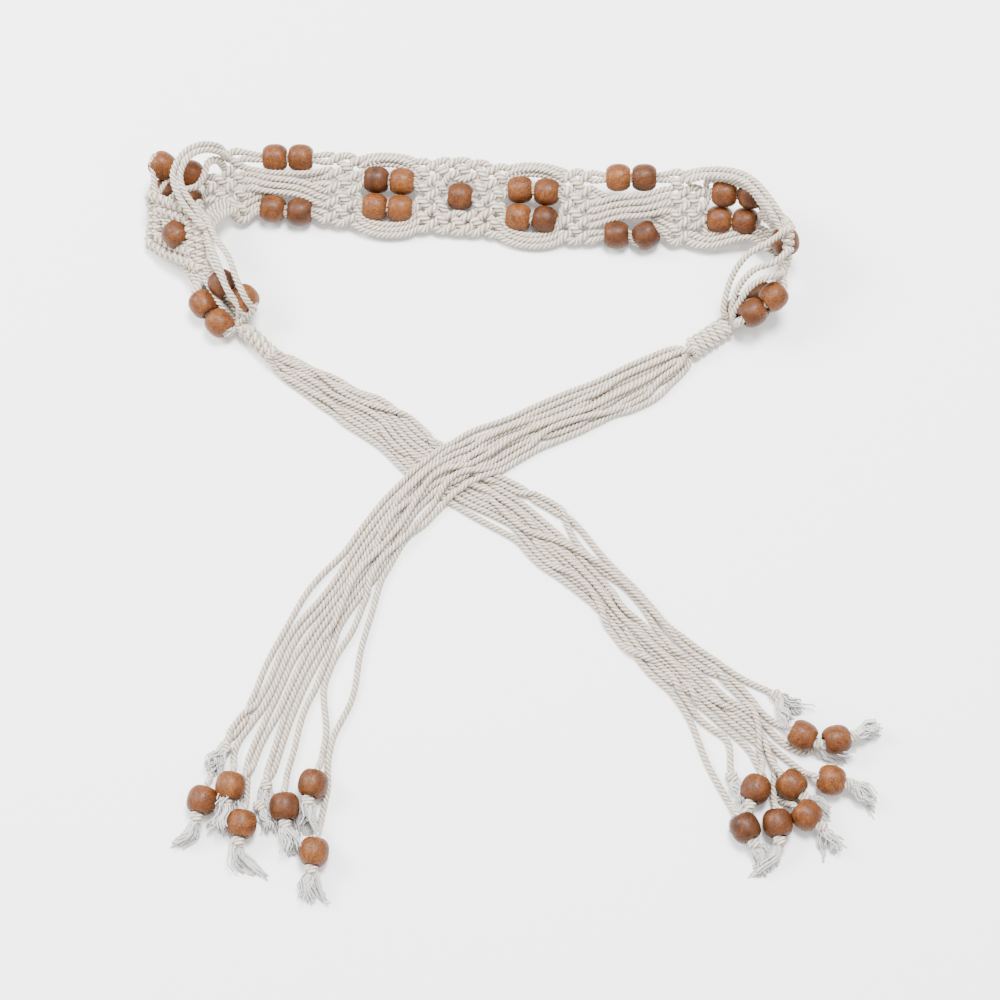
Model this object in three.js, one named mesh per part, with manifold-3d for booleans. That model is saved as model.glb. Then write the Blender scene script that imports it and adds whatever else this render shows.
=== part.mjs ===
// A plaited cotton cord belt with wooden beads, lying on a table in the curve it was laid down in.
// Millimetres, +Z up. The table is z = 0 and the origin is under the middle of the whole belt.
import * as THREE from "three";
import { mergeVertices } from "three/addons/utils/BufferGeometryUtils.js";
import Module from "manifold-3d";

const wasm = await Module();
wasm.setup();

// Cord and plait
const CORD = 4;
const CORD_SIDES = 4;
const PLAIT_WIDE = 43;
const PLAIT_THICK = 6.6;
const PLAIT_SIDES = 8;
const PLAIT_RING = 12; // from one ring of the plait's solid to the next
const LAYER_BITE = 1.3; // cords of thickness in each of two layers that press into each other
const PAIR = 4.8; // two cords squeezed side by side through a bead
const BUNDLE = 9; // all the cords drawn together beside a wrap knot
const PLAIT_BLUNT = 0.25; // how square a strip's section is, 0 for a box and 1 for an oval
const STRIP_BLUNT = 0.05;
const LOCK_BLUNT = 0.6;
const GAP = 0.3;
const CRUMB = 3; // cubic millimetres

// Beads
const BEAD_WIDE = 16;
const BEAD_LONG = 14;
const BEAD_FACE = 10.4;
const BEAD_HOLE = 6.6;
const BEAD_SIDES = 8;
const BEAD_APART = 1.1; // between two beads on one pair of cords
const LEAD_IN = 2.2; // straight cord outside a row of beads
const BEND_SHARE = 0.35; // how far two beads of a row turn with the band's bend
const BEAD_BAND = 0.38; // share of a bead's length that is nearly full width
const BEAD_TIP = 0.35; // how much of the radius a bead stands on when its axis is upright

// Lengths along the band, each from the middle bead to a wrap knot
const BAND_LEFT = 292;
const BAND_RIGHT = 266;
const CLUSTER_LEAD = 3; // bare cord at each end of a row of beads
const TUCK = 3; // how far a cord runs on inside the plait beside it
const DRAW_IN = 0.6; // share of a row's place off the middle line at which its cords leave the plait
const LOOSE_POWER = 0.6; // below 1, loose cords swing out early and stay out
const LOOSE_LOWER = { out: 1.55, wide: 2.3, thick: 1 }; // in cords
const LOOSE_UPPER = { out: 1.1, wide: 1.5, thick: 1.6 };
const PAIR_MOTIF = 48; // length of the crossed cords between two edge pairs
const PAIR_DRAW_IN = 0.84;
const SWING_POWER = 4; // above 1, the crossed cords run straight between the beads
const SWING = 13; // how far off the middle line they enter and leave
const EDGE_BEAD = 16.7; // an edge bead's place off the middle line
const DIAMOND_LEFT = 66;
const DIAMOND_RIGHT = 48; // bunched up where the band stands on edge
const DIAMOND_WIDE = 48;
const BAR_WIDE = 12.4; // two rows of half hitches
const BAR_THICK = 7;
const BAR_BLUNT = 7.5; // half the width of a diamond's blunt end
const SKEW_LEFT = 11; // how far the left diamond's lower corner is drawn along the band

// Wrap knots and tails
const KNOT_LONG = 26;
const KNOT_WIDE = 13;
const KNOT_HIGH = 9;
const KNOT_RIBS = 4;
const KNOT_WAIST = 0.8; // share of the knot's width between two ribs
const KNOT_SIDES = 8;
const TAIL_LONG = 400;
const HEAD_LONG = 5;
const FAN_TUCK = 0.4; // of a station, how far a free cord starts inside the lock
const LANE = 3.5; // side to side between two cords of a tail
const CORD_REST = 1.15; // in cords, the least height of a lock
const HEAP = 0.75; // in cords, how high a cord lies that crosses over another
const END_KNOT = 8.4;
const FRAY_LONG = 17;
const FRAY_WIDE = 8.2;
const FRAY_SIDES = 5;
const FRAY_FULL = 0.8; // share of a tip's length at which it is fullest

// Where the belt lies, measured from the crossing of the tails. The spine's x and y are shares of this.
const LOOP = 370;

// The middle line of the band. s is a share of the length on its side, x and y are shares of LOOP,
// lift is a share of PLAIT_WIDE over a resting bead's centre, tilt is degrees up from flat.
const SPINE = [
  { s: -1.0, x: -0.293, y: 0.236, lift: 0.1, tilt: 160 },
  { s: -0.932, x: -0.328, y: 0.267, lift: 0.13, tilt: 157 },
  { s: -0.87, x: -0.35, y: 0.303, lift: 0.16, tilt: 150 },
  { s: -0.808, x: -0.374, y: 0.344, lift: 0.21, tilt: 146 },
  { s: -0.75, x: -0.4, y: 0.38, lift: 0.24, tilt: 142 },
  { s: -0.692, x: -0.425, y: 0.419, lift: 0.28, tilt: 128 },
  { s: -0.63, x: -0.45, y: 0.46, lift: 0.36, tilt: 98 },
  { s: -0.6, x: -0.432, y: 0.475, lift: 0.3, tilt: 72 },
  { s: -0.566, x: -0.405, y: 0.471, lift: 0.2, tilt: 45 },
  { s: -0.504, x: -0.356, y: 0.467, lift: 0.14, tilt: 28 },
  { s: -0.432, x: -0.299, y: 0.474, lift: 0.12, tilt: 19 },
  { s: -0.35, x: -0.231, y: 0.477, lift: 0.12, tilt: 16 },
  { s: -0.267, x: -0.166, y: 0.472, lift: 0.09, tilt: 14 },
  { s: -0.146, x: -0.071, y: 0.462, lift: 0.06, tilt: 14 },
  { s: 0, x: 0.043, y: 0.459, lift: 0.05, tilt: 14 },
  { s: 0.16, x: 0.157, y: 0.443, lift: 0.07, tilt: 17 },
  { s: 0.286, x: 0.247, y: 0.436, lift: 0.12, tilt: 22 },
  { s: 0.376, x: 0.311, y: 0.434, lift: 0.17, tilt: 26 },
  { s: 0.466, x: 0.376, y: 0.432, lift: 0.18, tilt: 30 },
  { s: 0.538, x: 0.428, y: 0.431, lift: 0.2, tilt: 36 },
  { s: 0.605, x: 0.475, y: 0.429, lift: 0.24, tilt: 48 },
  { s: 0.67, x: 0.515, y: 0.414, lift: 0.32, tilt: 70 },
  { s: 0.72, x: 0.54, y: 0.388, lift: 0.37, tilt: 86 },
  { s: 0.765, x: 0.549, y: 0.36, lift: 0.38, tilt: 92 },
  { s: 0.812, x: 0.547, y: 0.327, lift: 0.35, tilt: 86 },
  { s: 0.86, x: 0.534, y: 0.297, lift: 0.25, tilt: 72 },
  { s: 0.929, x: 0.504, y: 0.265, lift: 0.16, tilt: 54 },
  { s: 1.0, x: 0.46, y: 0.242, lift: 0.1, tilt: 42 },
];

// Motifs along the band. s is a share of the length on its side, lean is the way the front cords cross.
const MOTIFS = [
  { name: "left_end", kind: "cluster", s: -0.932 },
  { name: "left_diamond", kind: "diamond", s: -0.75, long: DIAMOND_LEFT, skew: SKEW_LEFT },
  { name: "left_outer", kind: "cluster", s: -0.566 },
  { name: "left_edge", kind: "pairs", s: -0.35, lean: -1 },
  { name: "left_inner", kind: "cluster", s: -0.146 },
  { name: "middle", kind: "single", s: 0 },
  { name: "right_inner", kind: "cluster", s: 0.16 },
  { name: "right_edge", kind: "pairs", s: 0.376, lean: 1 },
  { name: "right_outer", kind: "cluster", s: 0.605 },
  { name: "right_diamond", kind: "diamond", s: 0.765, long: DIAMOND_RIGHT, skew: 0 },
  { name: "right_end", kind: "cluster", s: 0.929 },
];

// Beads that sit askew on their cords. turn is degrees in the plane of the band. shift is how far the
// bead has moved outwards along its row and aside how far across the band, as shares of BEAD_LONG.
const ASKEW = [
  { bead: "right_edge_lower_2", turn: 32, shift: 0.15, aside: 0 },
  { bead: "left_outer_upper_1", turn: -16, shift: 0.09, aside: 0 },
  { bead: "left_end_upper_1", turn: 0, shift: 0.05, aside: 0.3 },
  { bead: "right_inner_upper_1", turn: 8, shift: 0.04, aside: 0 },
  { bead: "right_inner_lower_2", turn: -10, shift: 0.05, aside: 0 },
  { bead: "left_edge_lower_1", turn: -9, shift: 0.05, aside: 0.14 },
  { bead: "left_edge_lower_2", turn: 0, shift: 0, aside: 0.03 },
  { bead: "left_edge_upper_1", turn: 0, shift: 0, aside: -0.09 },
  { bead: "left_edge_upper_2", turn: 0, shift: 0, aside: -0.06 },
  { bead: "right_outer_upper_2", turn: 8, shift: 0.04, aside: 0 },
];

// Pairs of cords that leave the band's edge and arch over to its next knotted place. from and to are
// places on the band, s and v as shares of its length and of PLAIT_WIDE, and the points that a pair
// passes over are shares of LOOP.
const ARCHES = [
  {
    from: [-0.49, 0.4],
    over: [
      [-0.328, 0.508, 0.097],
      [-0.375, 0.49, 0.116],
      [-0.395, 0.448, 0.111],
    ],
    to: [-0.745, 0.44],
  },
  {
    from: [-0.745, 0.42],
    over: [
      [-0.315, 0.32, 0.086],
      [-0.286, 0.264, 0.06],
    ],
    to: [-1, 0.02],
  },
  {
    from: [0.52, 0.4],
    over: [
      [0.451, 0.47, 0.108],
      [0.512, 0.447, 0.119],
      [0.547, 0.394, 0.114],
    ],
    to: [0.765, 0.42],
  },
  {
    from: [0.78, 0.4],
    over: [
      [0.49, 0.32, 0.09],
      [0.463, 0.278, 0.055],
    ],
    to: [1, 0.02],
  },
];

// The axis of each tail in stations from its wrap knot. x and y are shares of TAIL_LONG from the
// crossing, lift is in cords. Each cord's lanes, one a station, are in LANEs from that axis, and its
// end is given as the axis is. turn is the way its last bead points in degrees, and fray is the way
// its frayed tip points where that differs. bare is 1 where it has no bead, and via are points
// between its last station and its bead.
const LEFT_TAIL = {
  upright: true,
  fan: 6,
  axis: [
    { x: -0.218, y: 0.164, lift: 0.5 },
    { x: -0.144, y: 0.121, lift: 0 },
    { x: -0.072, y: 0.074, lift: 0 },
    { x: 0, y: 0.013, lift: 0 },
    { x: 0.125, y: -0.063, lift: 0 },
    { x: 0.172, y: -0.108, lift: 0 },
    { x: 0.238, y: -0.17, lift: 0 },
    { x: 0.304, y: -0.249, lift: 0 },
    { x: 0.354, y: -0.31, lift: 0 },
    { x: 0.415, y: -0.378, lift: 0 },
  ],
  cords: [
    {
      lanes: [-0.9, -2.2, -2.8, -3.2, -4, -3.1, -2.9, -2.9, -2.9, -5.9],
      end: [0.422, -0.508], turn: -64, fray: -44,
    },
    {
      lanes: [-0.9, -1.7, -2, -2.1, -2.1, -2.4, -2.5, -2.3, -2, -0.9],
      end: [0.421, -0.476], turn: -72, bare: 1,
    },
    { lanes: [0.3, 1.6, 1.9, 1.6, -1.4, 0.2, 3.3, 3, 5.2, 4.2], end: [0.438, -0.456], turn: -112 },
    {
      lanes: [-0.5, -1.2, -1.2, -1.5, -1.2, -1.5, -1.8, -1.5, -1, 1.9],
      via: [[0.468, -0.414], [0.461, -0.455]],
      end: [0.465, -0.502],
      turn: -86,
    },
    {
      lanes: [-0.3, -0.7, -0.6, -0.9, -0.7, -1, -1.3, -0.8, -0.2, 0],
      via: [[0.443, -0.411], [0.462, -0.462]],
      end: [0.504, -0.491],
      turn: -40,
      fray: -60,
    },
    {
      lanes: [0, -0.2, 0, -0.3, -0.1, -0.4, -0.8, -0.2, 0.5, 3.2],
      end: [0.486, -0.45], turn: -48, fray: -20,
    },
    { lanes: [0.2, 0.3, 0.5, 0.3, 0.6, 0.9, -0.3, 0.5, 1.2, 2.6], end: [0.539, -0.444], turn: -14 },
    {
      lanes: [0.5, 0.8, 1.2, 1, 1.5, 1.7, 0.2, 1.2, 1.8, 4.8],
      via: [[0.479, -0.392], [0.508, -0.407]],
      end: [0.549, -0.389],
      turn: 12,
    },
    {
      lanes: [0.8, 1.3, 2.4, 2.6, 3.6, 4, 2.1, 2.2, 3.6, 5.6],
      end: [0.504, -0.383], turn: -30, fray: -52,
    },
    {
      lanes: [0.9, 2.2, 2.7, 3.3, 4, 4.6, 3.9, 3.6, 5.8, 9.6],
      end: [0.498, -0.355], turn: -50, bare: 1,
    },
  ],
};
const RIGHT_TAIL = {
  upright: false,
  fan: 7,
  axis: [
    { x: 0.364, y: 0.18, lift: 0.4 },
    { x: 0.3, y: 0.141, lift: 0 },
    { x: 0.241, y: 0.107, lift: 0 },
    { x: 0.134, y: 0.061, lift: 0.5 },
    { x: 0.066, y: 0.023, lift: 1.6 },
    { x: 0, y: -0.011, lift: 1.8 },
    { x: -0.064, y: -0.095, lift: 0.9 },
    { x: -0.115, y: -0.176, lift: 0 },
    { x: -0.158, y: -0.259, lift: 0 },
    { x: -0.186, y: -0.337, lift: 0 },
    { x: -0.21, y: -0.42, lift: 0 },
  ],
  cords: [
    { lanes: [0.9, 3.3, 3.2, 3.6, 4, 2.9, 3.3, 4.7, 5.7, 5.7, 8.1], end: [-0.298, -0.471], turn: -104 },
    {
      lanes: [0.7, 1.9, 2.3, 2.1, 2.6, 2.1, 2.2, 2.6, 4.2, 4.8, 8.9],
      end: [-0.294, -0.43], turn: -125, bare: 1,
    },
    {
      lanes: [0.5, 1.5, 1.4, 1.3, 1.8, 1.4, 1.4, 1.5, 2.5, 4.1, 5.3],
      end: [-0.261, -0.452], turn: -100,
    },
    { lanes: [0.3, 0.7, 0.9, 0.8, 1, 0.7, 0.6, 0.7, 1.5, 3.3, 2.8], end: [-0.244, -0.503], turn: -98 },
    {
      lanes: [0.1, 0.1, 0.2, 0.2, 0.3, 0, 0, 0, 0.3, 1.3, 2.2],
      end: [-0.272, -0.478], turn: -125, bare: 1,
    },
    {
      lanes: [-0.1, -0.6, -0.4, -0.4, -0.5, -0.7, -0.6, -0.8, -0.6, 0.4, -0.1],
      end: [-0.22, -0.489], turn: -98, bare: 1,
    },
    {
      lanes: [-0.3, -1.1, -0.8, -1, -1.2, -1.4, -1.2, -1.6, -1.4, -0.4, -1.2],
      end: [-0.208, -0.515], turn: -70, bare: 1,
    },
    {
      lanes: [-0.5, -1.7, -1.4, -1.6, -1.8, -2.1, -1.9, -2.3, -2.1, -3.1, -2.1],
      end: [-0.188, -0.48], turn: -86,
    },
    {
      lanes: [-0.7, -2.4, -1.9, -2.4, -2.5, -2.8, -2.6, -3.3, -3.5, -5.7, -7.3],
      end: [-0.151, -0.449], turn: -104,
    },
    {
      lanes: [-0.9, -3.9, -2.8, -3.3, -3.8, -4.2, -3.3, -4.2, -8.7, -7.5, -9.8],
      end: [-0.147, -0.54], turn: -97,
    },
  ],
};

const cotton = new THREE.MeshStandardMaterial({ color: 0xded7ce, roughness: 0.95, metalness: 0 });
const wood = new THREE.MeshStandardMaterial({ color: 0xae7650, roughness: 0.5, metalness: 0 });

const rad = THREE.MathUtils.degToRad;
const vec = (x, y, z) => new THREE.Vector3(x, y, z);

// A closed three.js geometry as a solid, turned outside out if its faces point inwards.
function solid(geometry) {
  const bare = geometry.clone();
  bare.deleteAttribute("normal");
  bare.deleteAttribute("uv");
  const merged = mergeVertices(bare, 1e-3);
  const verts = merged.attributes.position.array;
  const faces = new Uint32Array(merged.index.array);
  const make = (triVerts) =>
    new wasm.Manifold(new wasm.Mesh({ numProp: 3, vertProperties: verts, triVerts }));
  const made = make(faces);
  if (made.volume() > 0) return made;
  for (let i = 0; i < faces.length; i += 3) [faces[i], faces[i + 1]] = [faces[i + 1], faces[i]];
  return make(faces);
}

const join = (solids) => solids.reduce((all, one) => all.add(one));

// What would go below the table lies flat on it.
function onTable(geometry) {
  const points = geometry.attributes.position;
  for (let i = 0; i < points.count; i++) points.setZ(i, Math.max(points.getZ(i), 0));
  return geometry;
}

// A solid as a named mesh.
function meshOf(name, shape, material) {
  const { vertProperties, triVerts } = shape.getMesh();
  const geometry = new THREE.BufferGeometry();
  geometry.setAttribute("position", new THREE.BufferAttribute(new Float32Array(vertProperties), 3));
  geometry.setIndex(new THREE.BufferAttribute(new Uint32Array(triVerts), 1));
  geometry.computeVertexNormals();
  const mesh = new THREE.Mesh(geometry, material);
  mesh.name = name;
  return mesh;
}

// Every value of a table's rows at place s, on one smooth curve through the rows.
function tableAt(rows, s) {
  const last = rows.length - 1;
  let i = rows.findIndex((row) => row.s > s) - 1;
  if (i < 0) i = s <= rows[0].s ? 0 : last - 1;
  const slope = (k, key) => {
    const a = rows[Math.max(k - 1, 0)];
    const b = rows[Math.min(k + 1, last)];
    return (b[key] - a[key]) / (b.s - a.s);
  };
  const span = rows[i + 1].s - rows[i].s;
  const t = (s - rows[i].s) / span;
  const out = {};
  for (const key of Object.keys(rows[0]))
    out[key] =
      rows[i][key] * (1 + 2 * t) * (1 - t) ** 2 +
      slope(i, key) * span * t * (1 - t) ** 2 +
      rows[i + 1][key] * t * t * (3 - 2 * t) +
      slope(i + 1, key) * span * t * t * (t - 1);
  return out;
}

// A share of the band's length on its own side, as millimetres from the middle bead.
const along = (share) => share * (share < 0 ? BAND_LEFT : BAND_RIGHT);
const spineRows = SPINE.map((row) => ({ ...row, s: along(row.s) }));

function spinePoint(s) {
  const row = tableAt(spineRows, s);
  return vec(row.x * LOOP, row.y * LOOP, BEAD_WIDE / 2 + row.lift * PLAIT_WIDE);
}

// The point of the band s along its middle line, v across it and n off its inner face.
function bandPoint(s, v, n) {
  const at = spinePoint(s);
  const run = spinePoint(s + 1).sub(spinePoint(s - 1)).normalize();
  const outward = vec(-run.y, run.x, 0).normalize();
  const tilt = rad(tableAt(spineRows, s).tilt);
  const across = outward.multiplyScalar(Math.cos(tilt)).add(vec(0, 0, Math.sin(tilt)));
  const normal = new THREE.Vector3().crossVectors(run, across).normalize();
  return at.addScaledVector(across, v).addScaledVector(normal, n);
}

// A strip whose middle is at v(u), n(u) for u from 0 to 1, placed by a function of its own place,
// width and thickness coordinates.
function strip({ from, to, v = () => 0, n = () => 0, wide, thick, ...rest }) {
  const { place = bandPoint, sides = 4, steps = 4, blunt = STRIP_BLUNT } = rest;
  const rod = new THREE.CylinderGeometry(1, 1, 1, sides, steps, false, Math.PI / sides);
  const points = rod.attributes.position;
  const round = (c) => Math.sign(c) * Math.abs(c) ** blunt;
  const at = (value, u) => (typeof value === "function" ? value(u) : value);
  for (let i = 0; i < points.count; i++) {
    const u = points.getY(i) + 0.5;
    const [x, z] = [points.getX(i), points.getZ(i)];
    const r = Math.hypot(x, z);
    const p = place(
      from + (to - from) * u,
      v(u) + (r > 0.5 ? (round(x / r) * at(wide, u)) / 2 : 0),
      n(u) + (r > 0.5 ? (round(z / r) * at(thick, u)) / 2 : 0),
    );
    points.setXYZ(i, p.x, p.y, p.z);
  }
  return solid(onTable(rod));
}

// A line from point to point with one ring of a tube at each.
class Route extends THREE.Curve {
  constructor(points) {
    super();
    this.points = points;
    this.steps = points.length - 1;
  }
  getPoint(t) {
    const i = Math.min(Math.floor(t * this.steps), this.steps - 1);
    return this.points[i].clone().lerp(this.points[i + 1], t * this.steps - i);
  }
  getUtoTmapping(u) {
    return u;
  }
}

// A round cord or pair of cords along points, as a tube with a few flat sides, over the table.
function tube(points, diameter, sides) {
  const section = new THREE.Shape(
    Array.from({ length: sides }, (_, i) => {
      const a = (2 * Math.PI * (i + 0.5)) / sides;
      return new THREE.Vector2((Math.cos(a) * diameter) / 2, (Math.sin(a) * diameter) / 2);
    }),
  );
  const route = new Route(points.map((p) => p.clone().setZ(Math.max(p.z, diameter / 2))));
  const options = { steps: route.steps, extrudePath: route, bevelEnabled: false };
  return solid(new THREE.ExtrudeGeometry(section, options));
}

// Turns +Y to a direction and moves the origin to a point.
const pose = (point, direction) =>
  new THREE.Matrix4().compose(
    point,
    new THREE.Quaternion().setFromUnitVectors(vec(0, 1, 0), direction),
    vec(1, 1, 1),
  );

function lathe(profile, sides, matrix) {
  const outline = profile.map(([r, y]) => new THREE.Vector2(r, y));
  return solid(onTable(new THREE.LatheGeometry(outline, sides).applyMatrix4(matrix)));
}

// A barrel bead, drilled along its axis.
function beadSolid({ centre, axis }) {
  const half = BEAD_LONG / 2;
  const bore = BEAD_HOLE / 2;
  const profile = [
    [bore, -half],
    [BEAD_FACE / 2, -half],
    [BEAD_WIDE / 2, 0],
    [BEAD_FACE / 2, half],
    [bore, half],
    [bore, -half],
  ];
  return lathe(profile, BEAD_SIDES, pose(centre, axis));
}

// The room that a bead needs, its own outline with the gap round it and inside its hole.
function beadRoom({ centre, axis }) {
  const half = BEAD_LONG / 2 + GAP;
  const bore = BEAD_HOLE / 2 - GAP;
  const face = BEAD_FACE / 2 + 2 * GAP;
  const widest = BEAD_WIDE / 2 + GAP / Math.cos(Math.PI / BEAD_SIDES);
  const profile = [
    [bore, -half],
    [face, -half],
    [widest, -half * BEAD_BAND],
    [widest, half * BEAD_BAND],
    [face, half],
    [bore, half],
    [bore, -half],
  ];
  return lathe(profile, BEAD_SIDES, pose(centre, axis));
}

// A row of beads on one pair of cords along the band at v, k bead steps from mid.
function beadRow(name, mid, v, steps) {
  return steps.map((k, i) => {
    const bead = steps.length > 1 ? name + "_" + (i + 1) : name;
    const row = ASKEW.find((r) => r.bead === bead) ?? { turn: 0, shift: 0, aside: 0 };
    const at = mid + k * BEND_SHARE * beadStep;
    const run = spinePoint(at + 2).sub(spinePoint(at - 2)).normalize();
    const across = bandPoint(mid, 1, 0).sub(bandPoint(mid, -1, 0)).normalize();
    const normal = new THREE.Vector3().crossVectors(run, across).normalize();
    const centre = bandPoint(mid, v, 0)
      .addScaledVector(run, k * (beadStep + row.shift * BEAD_LONG))
      .addScaledVector(across, row.aside * BEAD_LONG);
    const axis = run.clone().applyAxisAngle(normal, rad(row.turn));
    const rest = (BEAD_WIDE / 2) * (Math.hypot(axis.x, axis.y) + Math.abs(axis.z) * BEAD_TIP);
    return { name: bead, centre: centre.setZ(Math.max(centre.z, rest)), axis };
  });
}

// A pair of cords through a row of beads, from one point of the band to another. It runs straight
// for a little beyond the row's outer faces.
function thread(start, beads, end) {
  const half = BEAD_LONG / 2;
  const reach = (outside) => half + (outside ? LEAD_IN : BEAD_APART / 4);
  const points = beads.flatMap(({ centre, axis }, i) => [
    centre.clone().addScaledVector(axis, -reach(i === 0)),
    centre.clone().addScaledVector(axis, reach(i === beads.length - 1)),
  ]);
  return tube([start, ...points, end], PAIR, CORD_SIDES);
}

const rowHalf = BEAD_WIDE / 2 + GAP / 2;
const clusterHalf = BEAD_LONG + BEAD_APART / 2 + CLUSTER_LEAD;
const beadStep = (BEAD_LONG + BEAD_APART) / 2;
const bulge = (u) => Math.sin(Math.PI * Math.min(1, Math.max(0, u))) ** LOOSE_POWER;

const halfOf = (motif) =>
  ({ cluster: clusterHalf, pairs: PAIR_MOTIF / 2, diamond: motif.long / 2 })[motif.kind];
const isEnd = (motif) => motif.name.endsWith("end");

// Two rows of two beads, with loose cords outside them on the plait's edges.
function cluster(motif, mid) {
  const rows = [
    ["lower", -1],
    ["upper", 1],
  ];
  const beads = [];
  const threads = [];
  const strips = [];
  const reach = clusterHalf + TUCK;
  for (const [rowName, side] of rows) {
    const v = side * rowHalf;
    const pair = beadRow(motif.name + "_" + rowName, mid, v, [-1, 1]);
    const [start, end] = [-reach, reach].map((ds) => bandPoint(mid + ds, v * DRAW_IN, 0));
    beads.push(...pair);
    threads.push(thread(start, pair, end));
  }
  const loose = (side, { out, wide, thick }) => {
    const base = PLAIT_WIDE / 2 - CORD;
    const swing = rowHalf + BEAD_WIDE / 2 + GAP + out * CORD - base;
    const v = (u) => side * (base + swing * bulge(u));
    return strip({ from: mid - reach, to: mid + reach, v, wide: wide * CORD, thick: thick * CORD });
  };
  if (!isEnd(motif)) strips.push(loose(-1, LOOSE_LOWER));
  if (!isEnd(motif) && !motif.name.endsWith("outer")) strips.push(loose(1, LOOSE_UPPER));
  return { beads, threads, strips };
}

// Two beads on each edge, with four cords crossing in front of two between them.
function edgePairs(motif, mid) {
  const reach = PAIR_MOTIF / 2 + TUCK;
  const beads = [];
  const threads = [];
  for (const [rowName, side] of [
    ["lower", -1],
    ["upper", 1],
  ]) {
    const v = side * EDGE_BEAD;
    const pair = beadRow(motif.name + "_" + rowName, mid, v, [-1, 1]);
    const [start, end] = [-reach, reach].map((ds) => bandPoint(mid + ds, v * PAIR_DRAW_IN, 0));
    beads.push(...pair);
    threads.push(thread(start, pair, end));
  }
  const room = EDGE_BEAD - BEAD_WIDE / 2 - 2 * GAP;
  const swing = (u) => Math.sign(u - 0.5) * (2 * u - 1) ** SWING_POWER * SWING;
  const both = { thick: CORD * LAYER_BITE, steps: 6, from: mid - reach, to: mid + reach };
  const off = CORD * (1 - LAYER_BITE / 2);
  const front = { v: (u) => motif.lean * swing(u), n: () => off, wide: 2 * room };
  const back = { v: (u) => -motif.lean * swing(u), n: () => -off, wide: room };
  return { beads, threads, strips: [strip({ ...both, ...front }), strip({ ...both, ...back })] };
}

// Half of a diamond's outline, from its blunt end at +long to the one at -long. The rest is the same
// turned by half a turn.
function diamondOutline(long, wide, blunt) {
  const half = [
    [long, blunt],
    [long / 2, (wide + blunt) / 2],
    [0, wide],
    [-long / 2, (wide + blunt) / 2],
    [-long, blunt],
  ];
  return [...half, ...half.map(([x, y]) => [-x, -y])].map(([x, y]) => new THREE.Vector2(x, y));
}

// Four double bars of half hitches in a diamond, open round the bead in the middle.
function diamond(motif, mid) {
  const half = motif.long / 2 + CORD * BEND_SHARE;
  const rim = DIAMOND_WIDE / 2;
  const open = (rim - BAR_WIDE) / rim;
  const outline = new THREE.Shape(diamondOutline(half, rim, BAR_BLUNT));
  outline.holes.push(new THREE.Path(diamondOutline((half + CORD) * open, (rim + GAP) * open, CORD / 4)));
  const plate = new THREE.ExtrudeGeometry(outline, { depth: BAR_THICK, bevelEnabled: false });
  const points = plate.attributes.position;
  for (let i = 0; i < points.count; i++) {
    const n = points.getZ(i) - BAR_THICK / 2;
    const drawn = motif.skew * Math.max(0, -points.getY(i) / rim);
    const p = bandPoint(mid + points.getX(i) + drawn, points.getY(i), n);
    points.setXYZ(i, p.x, p.y, p.z);
  }
  const beads = beadRow(motif.name, mid, 0, [0]);
  const ends = [-1, 1].map((side) => bandPoint(mid + side * (half - CORD), 0, 0));
  return { beads, threads: [thread(ends[0], beads, ends[1])], strips: [solid(onTable(plate))] };
}

function single(motif, mid) {
  const beads = beadRow(motif.name, mid, 0, [0]);
  const reach = BEAD_LONG / 2 + LEAD_IN + TUCK;
  const threads = [thread(bandPoint(mid - reach, 0, 0), beads, bandPoint(mid + reach, 0, 0))];
  return { beads, threads, strips: [] };
}

const makers = { cluster, pairs: edgePairs, diamond, single };

// The stretches of close plait, from one motif to the next.
function plaitStretches() {
  const stretches = [];
  const breaks = MOTIFS.filter((motif) => motif.kind !== "single");
  for (let i = 1; i < breaks.length; i++) {
    const [a, b] = [breaks[i - 1], breaks[i]];
    if (a.kind === "diamond" || b.kind === "diamond") continue;
    const from = along(a.s) + halfOf(a);
    const to = along(b.s) - halfOf(b);
    stretches.push(
      strip({
        from,
        to,
        wide: PLAIT_WIDE,
        thick: PLAIT_THICK,
        sides: PLAIT_SIDES,
        steps: Math.max(2, Math.round((to - from) / PLAIT_RING)),
        blunt: PLAIT_BLUNT,
      }),
    );
  }
  return stretches;
}

function arch({ from, over, to }) {
  const ends = [from, to].map(([s, v]) => bandPoint(along(s), v * PLAIT_WIDE, 0));
  const tops = over.map(([x, y, z]) => vec(x * LOOP, y * LOOP, z * LOOP));
  const curve = new THREE.CatmullRomCurve3([ends[0], ...tops, ends[1]], false, "centripetal");
  return tube(curve.getSpacedPoints(2 * tops.length + 2), PAIR, CORD_SIDES);
}

// The cords drawn together from the last beads into a wrap knot.
function gather(knot) {
  const last = MOTIFS.find((m) => isEnd(m) && Math.sign(m.s) === knot.side);
  const start = bandPoint(along(last.s) + knot.side * (clusterHalf + 1), 0, 0);
  const mouth = knot.from.clone().setZ(knot.high / 2);
  return tube([start, mouth, mouth.clone().addScaledVector(knot.direction, 2)], BUNDLE, 6);
}

// Leaves out the crumbs that a cut makes.
function whole(shape) {
  return join(shape.decompose().filter((piece) => piece.volume() > CRUMB));
}

function buildBand(knots) {
  const parts = MOTIFS.map((motif) => makers[motif.kind](motif, along(motif.s)));
  const beads = parts.flatMap((p) => p.beads);
  const pieces = [
    ...plaitStretches(),
    ...parts.flatMap((p) => [...p.strips, ...p.threads]),
    ...ARCHES.map(arch),
    ...knots.map(gather),
  ];
  const rooms = [...beads.map(beadRoom), ...knots.map(knotRoom)];
  return { beads, band: whole(join(pieces).subtract(join(rooms))) };
}

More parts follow.
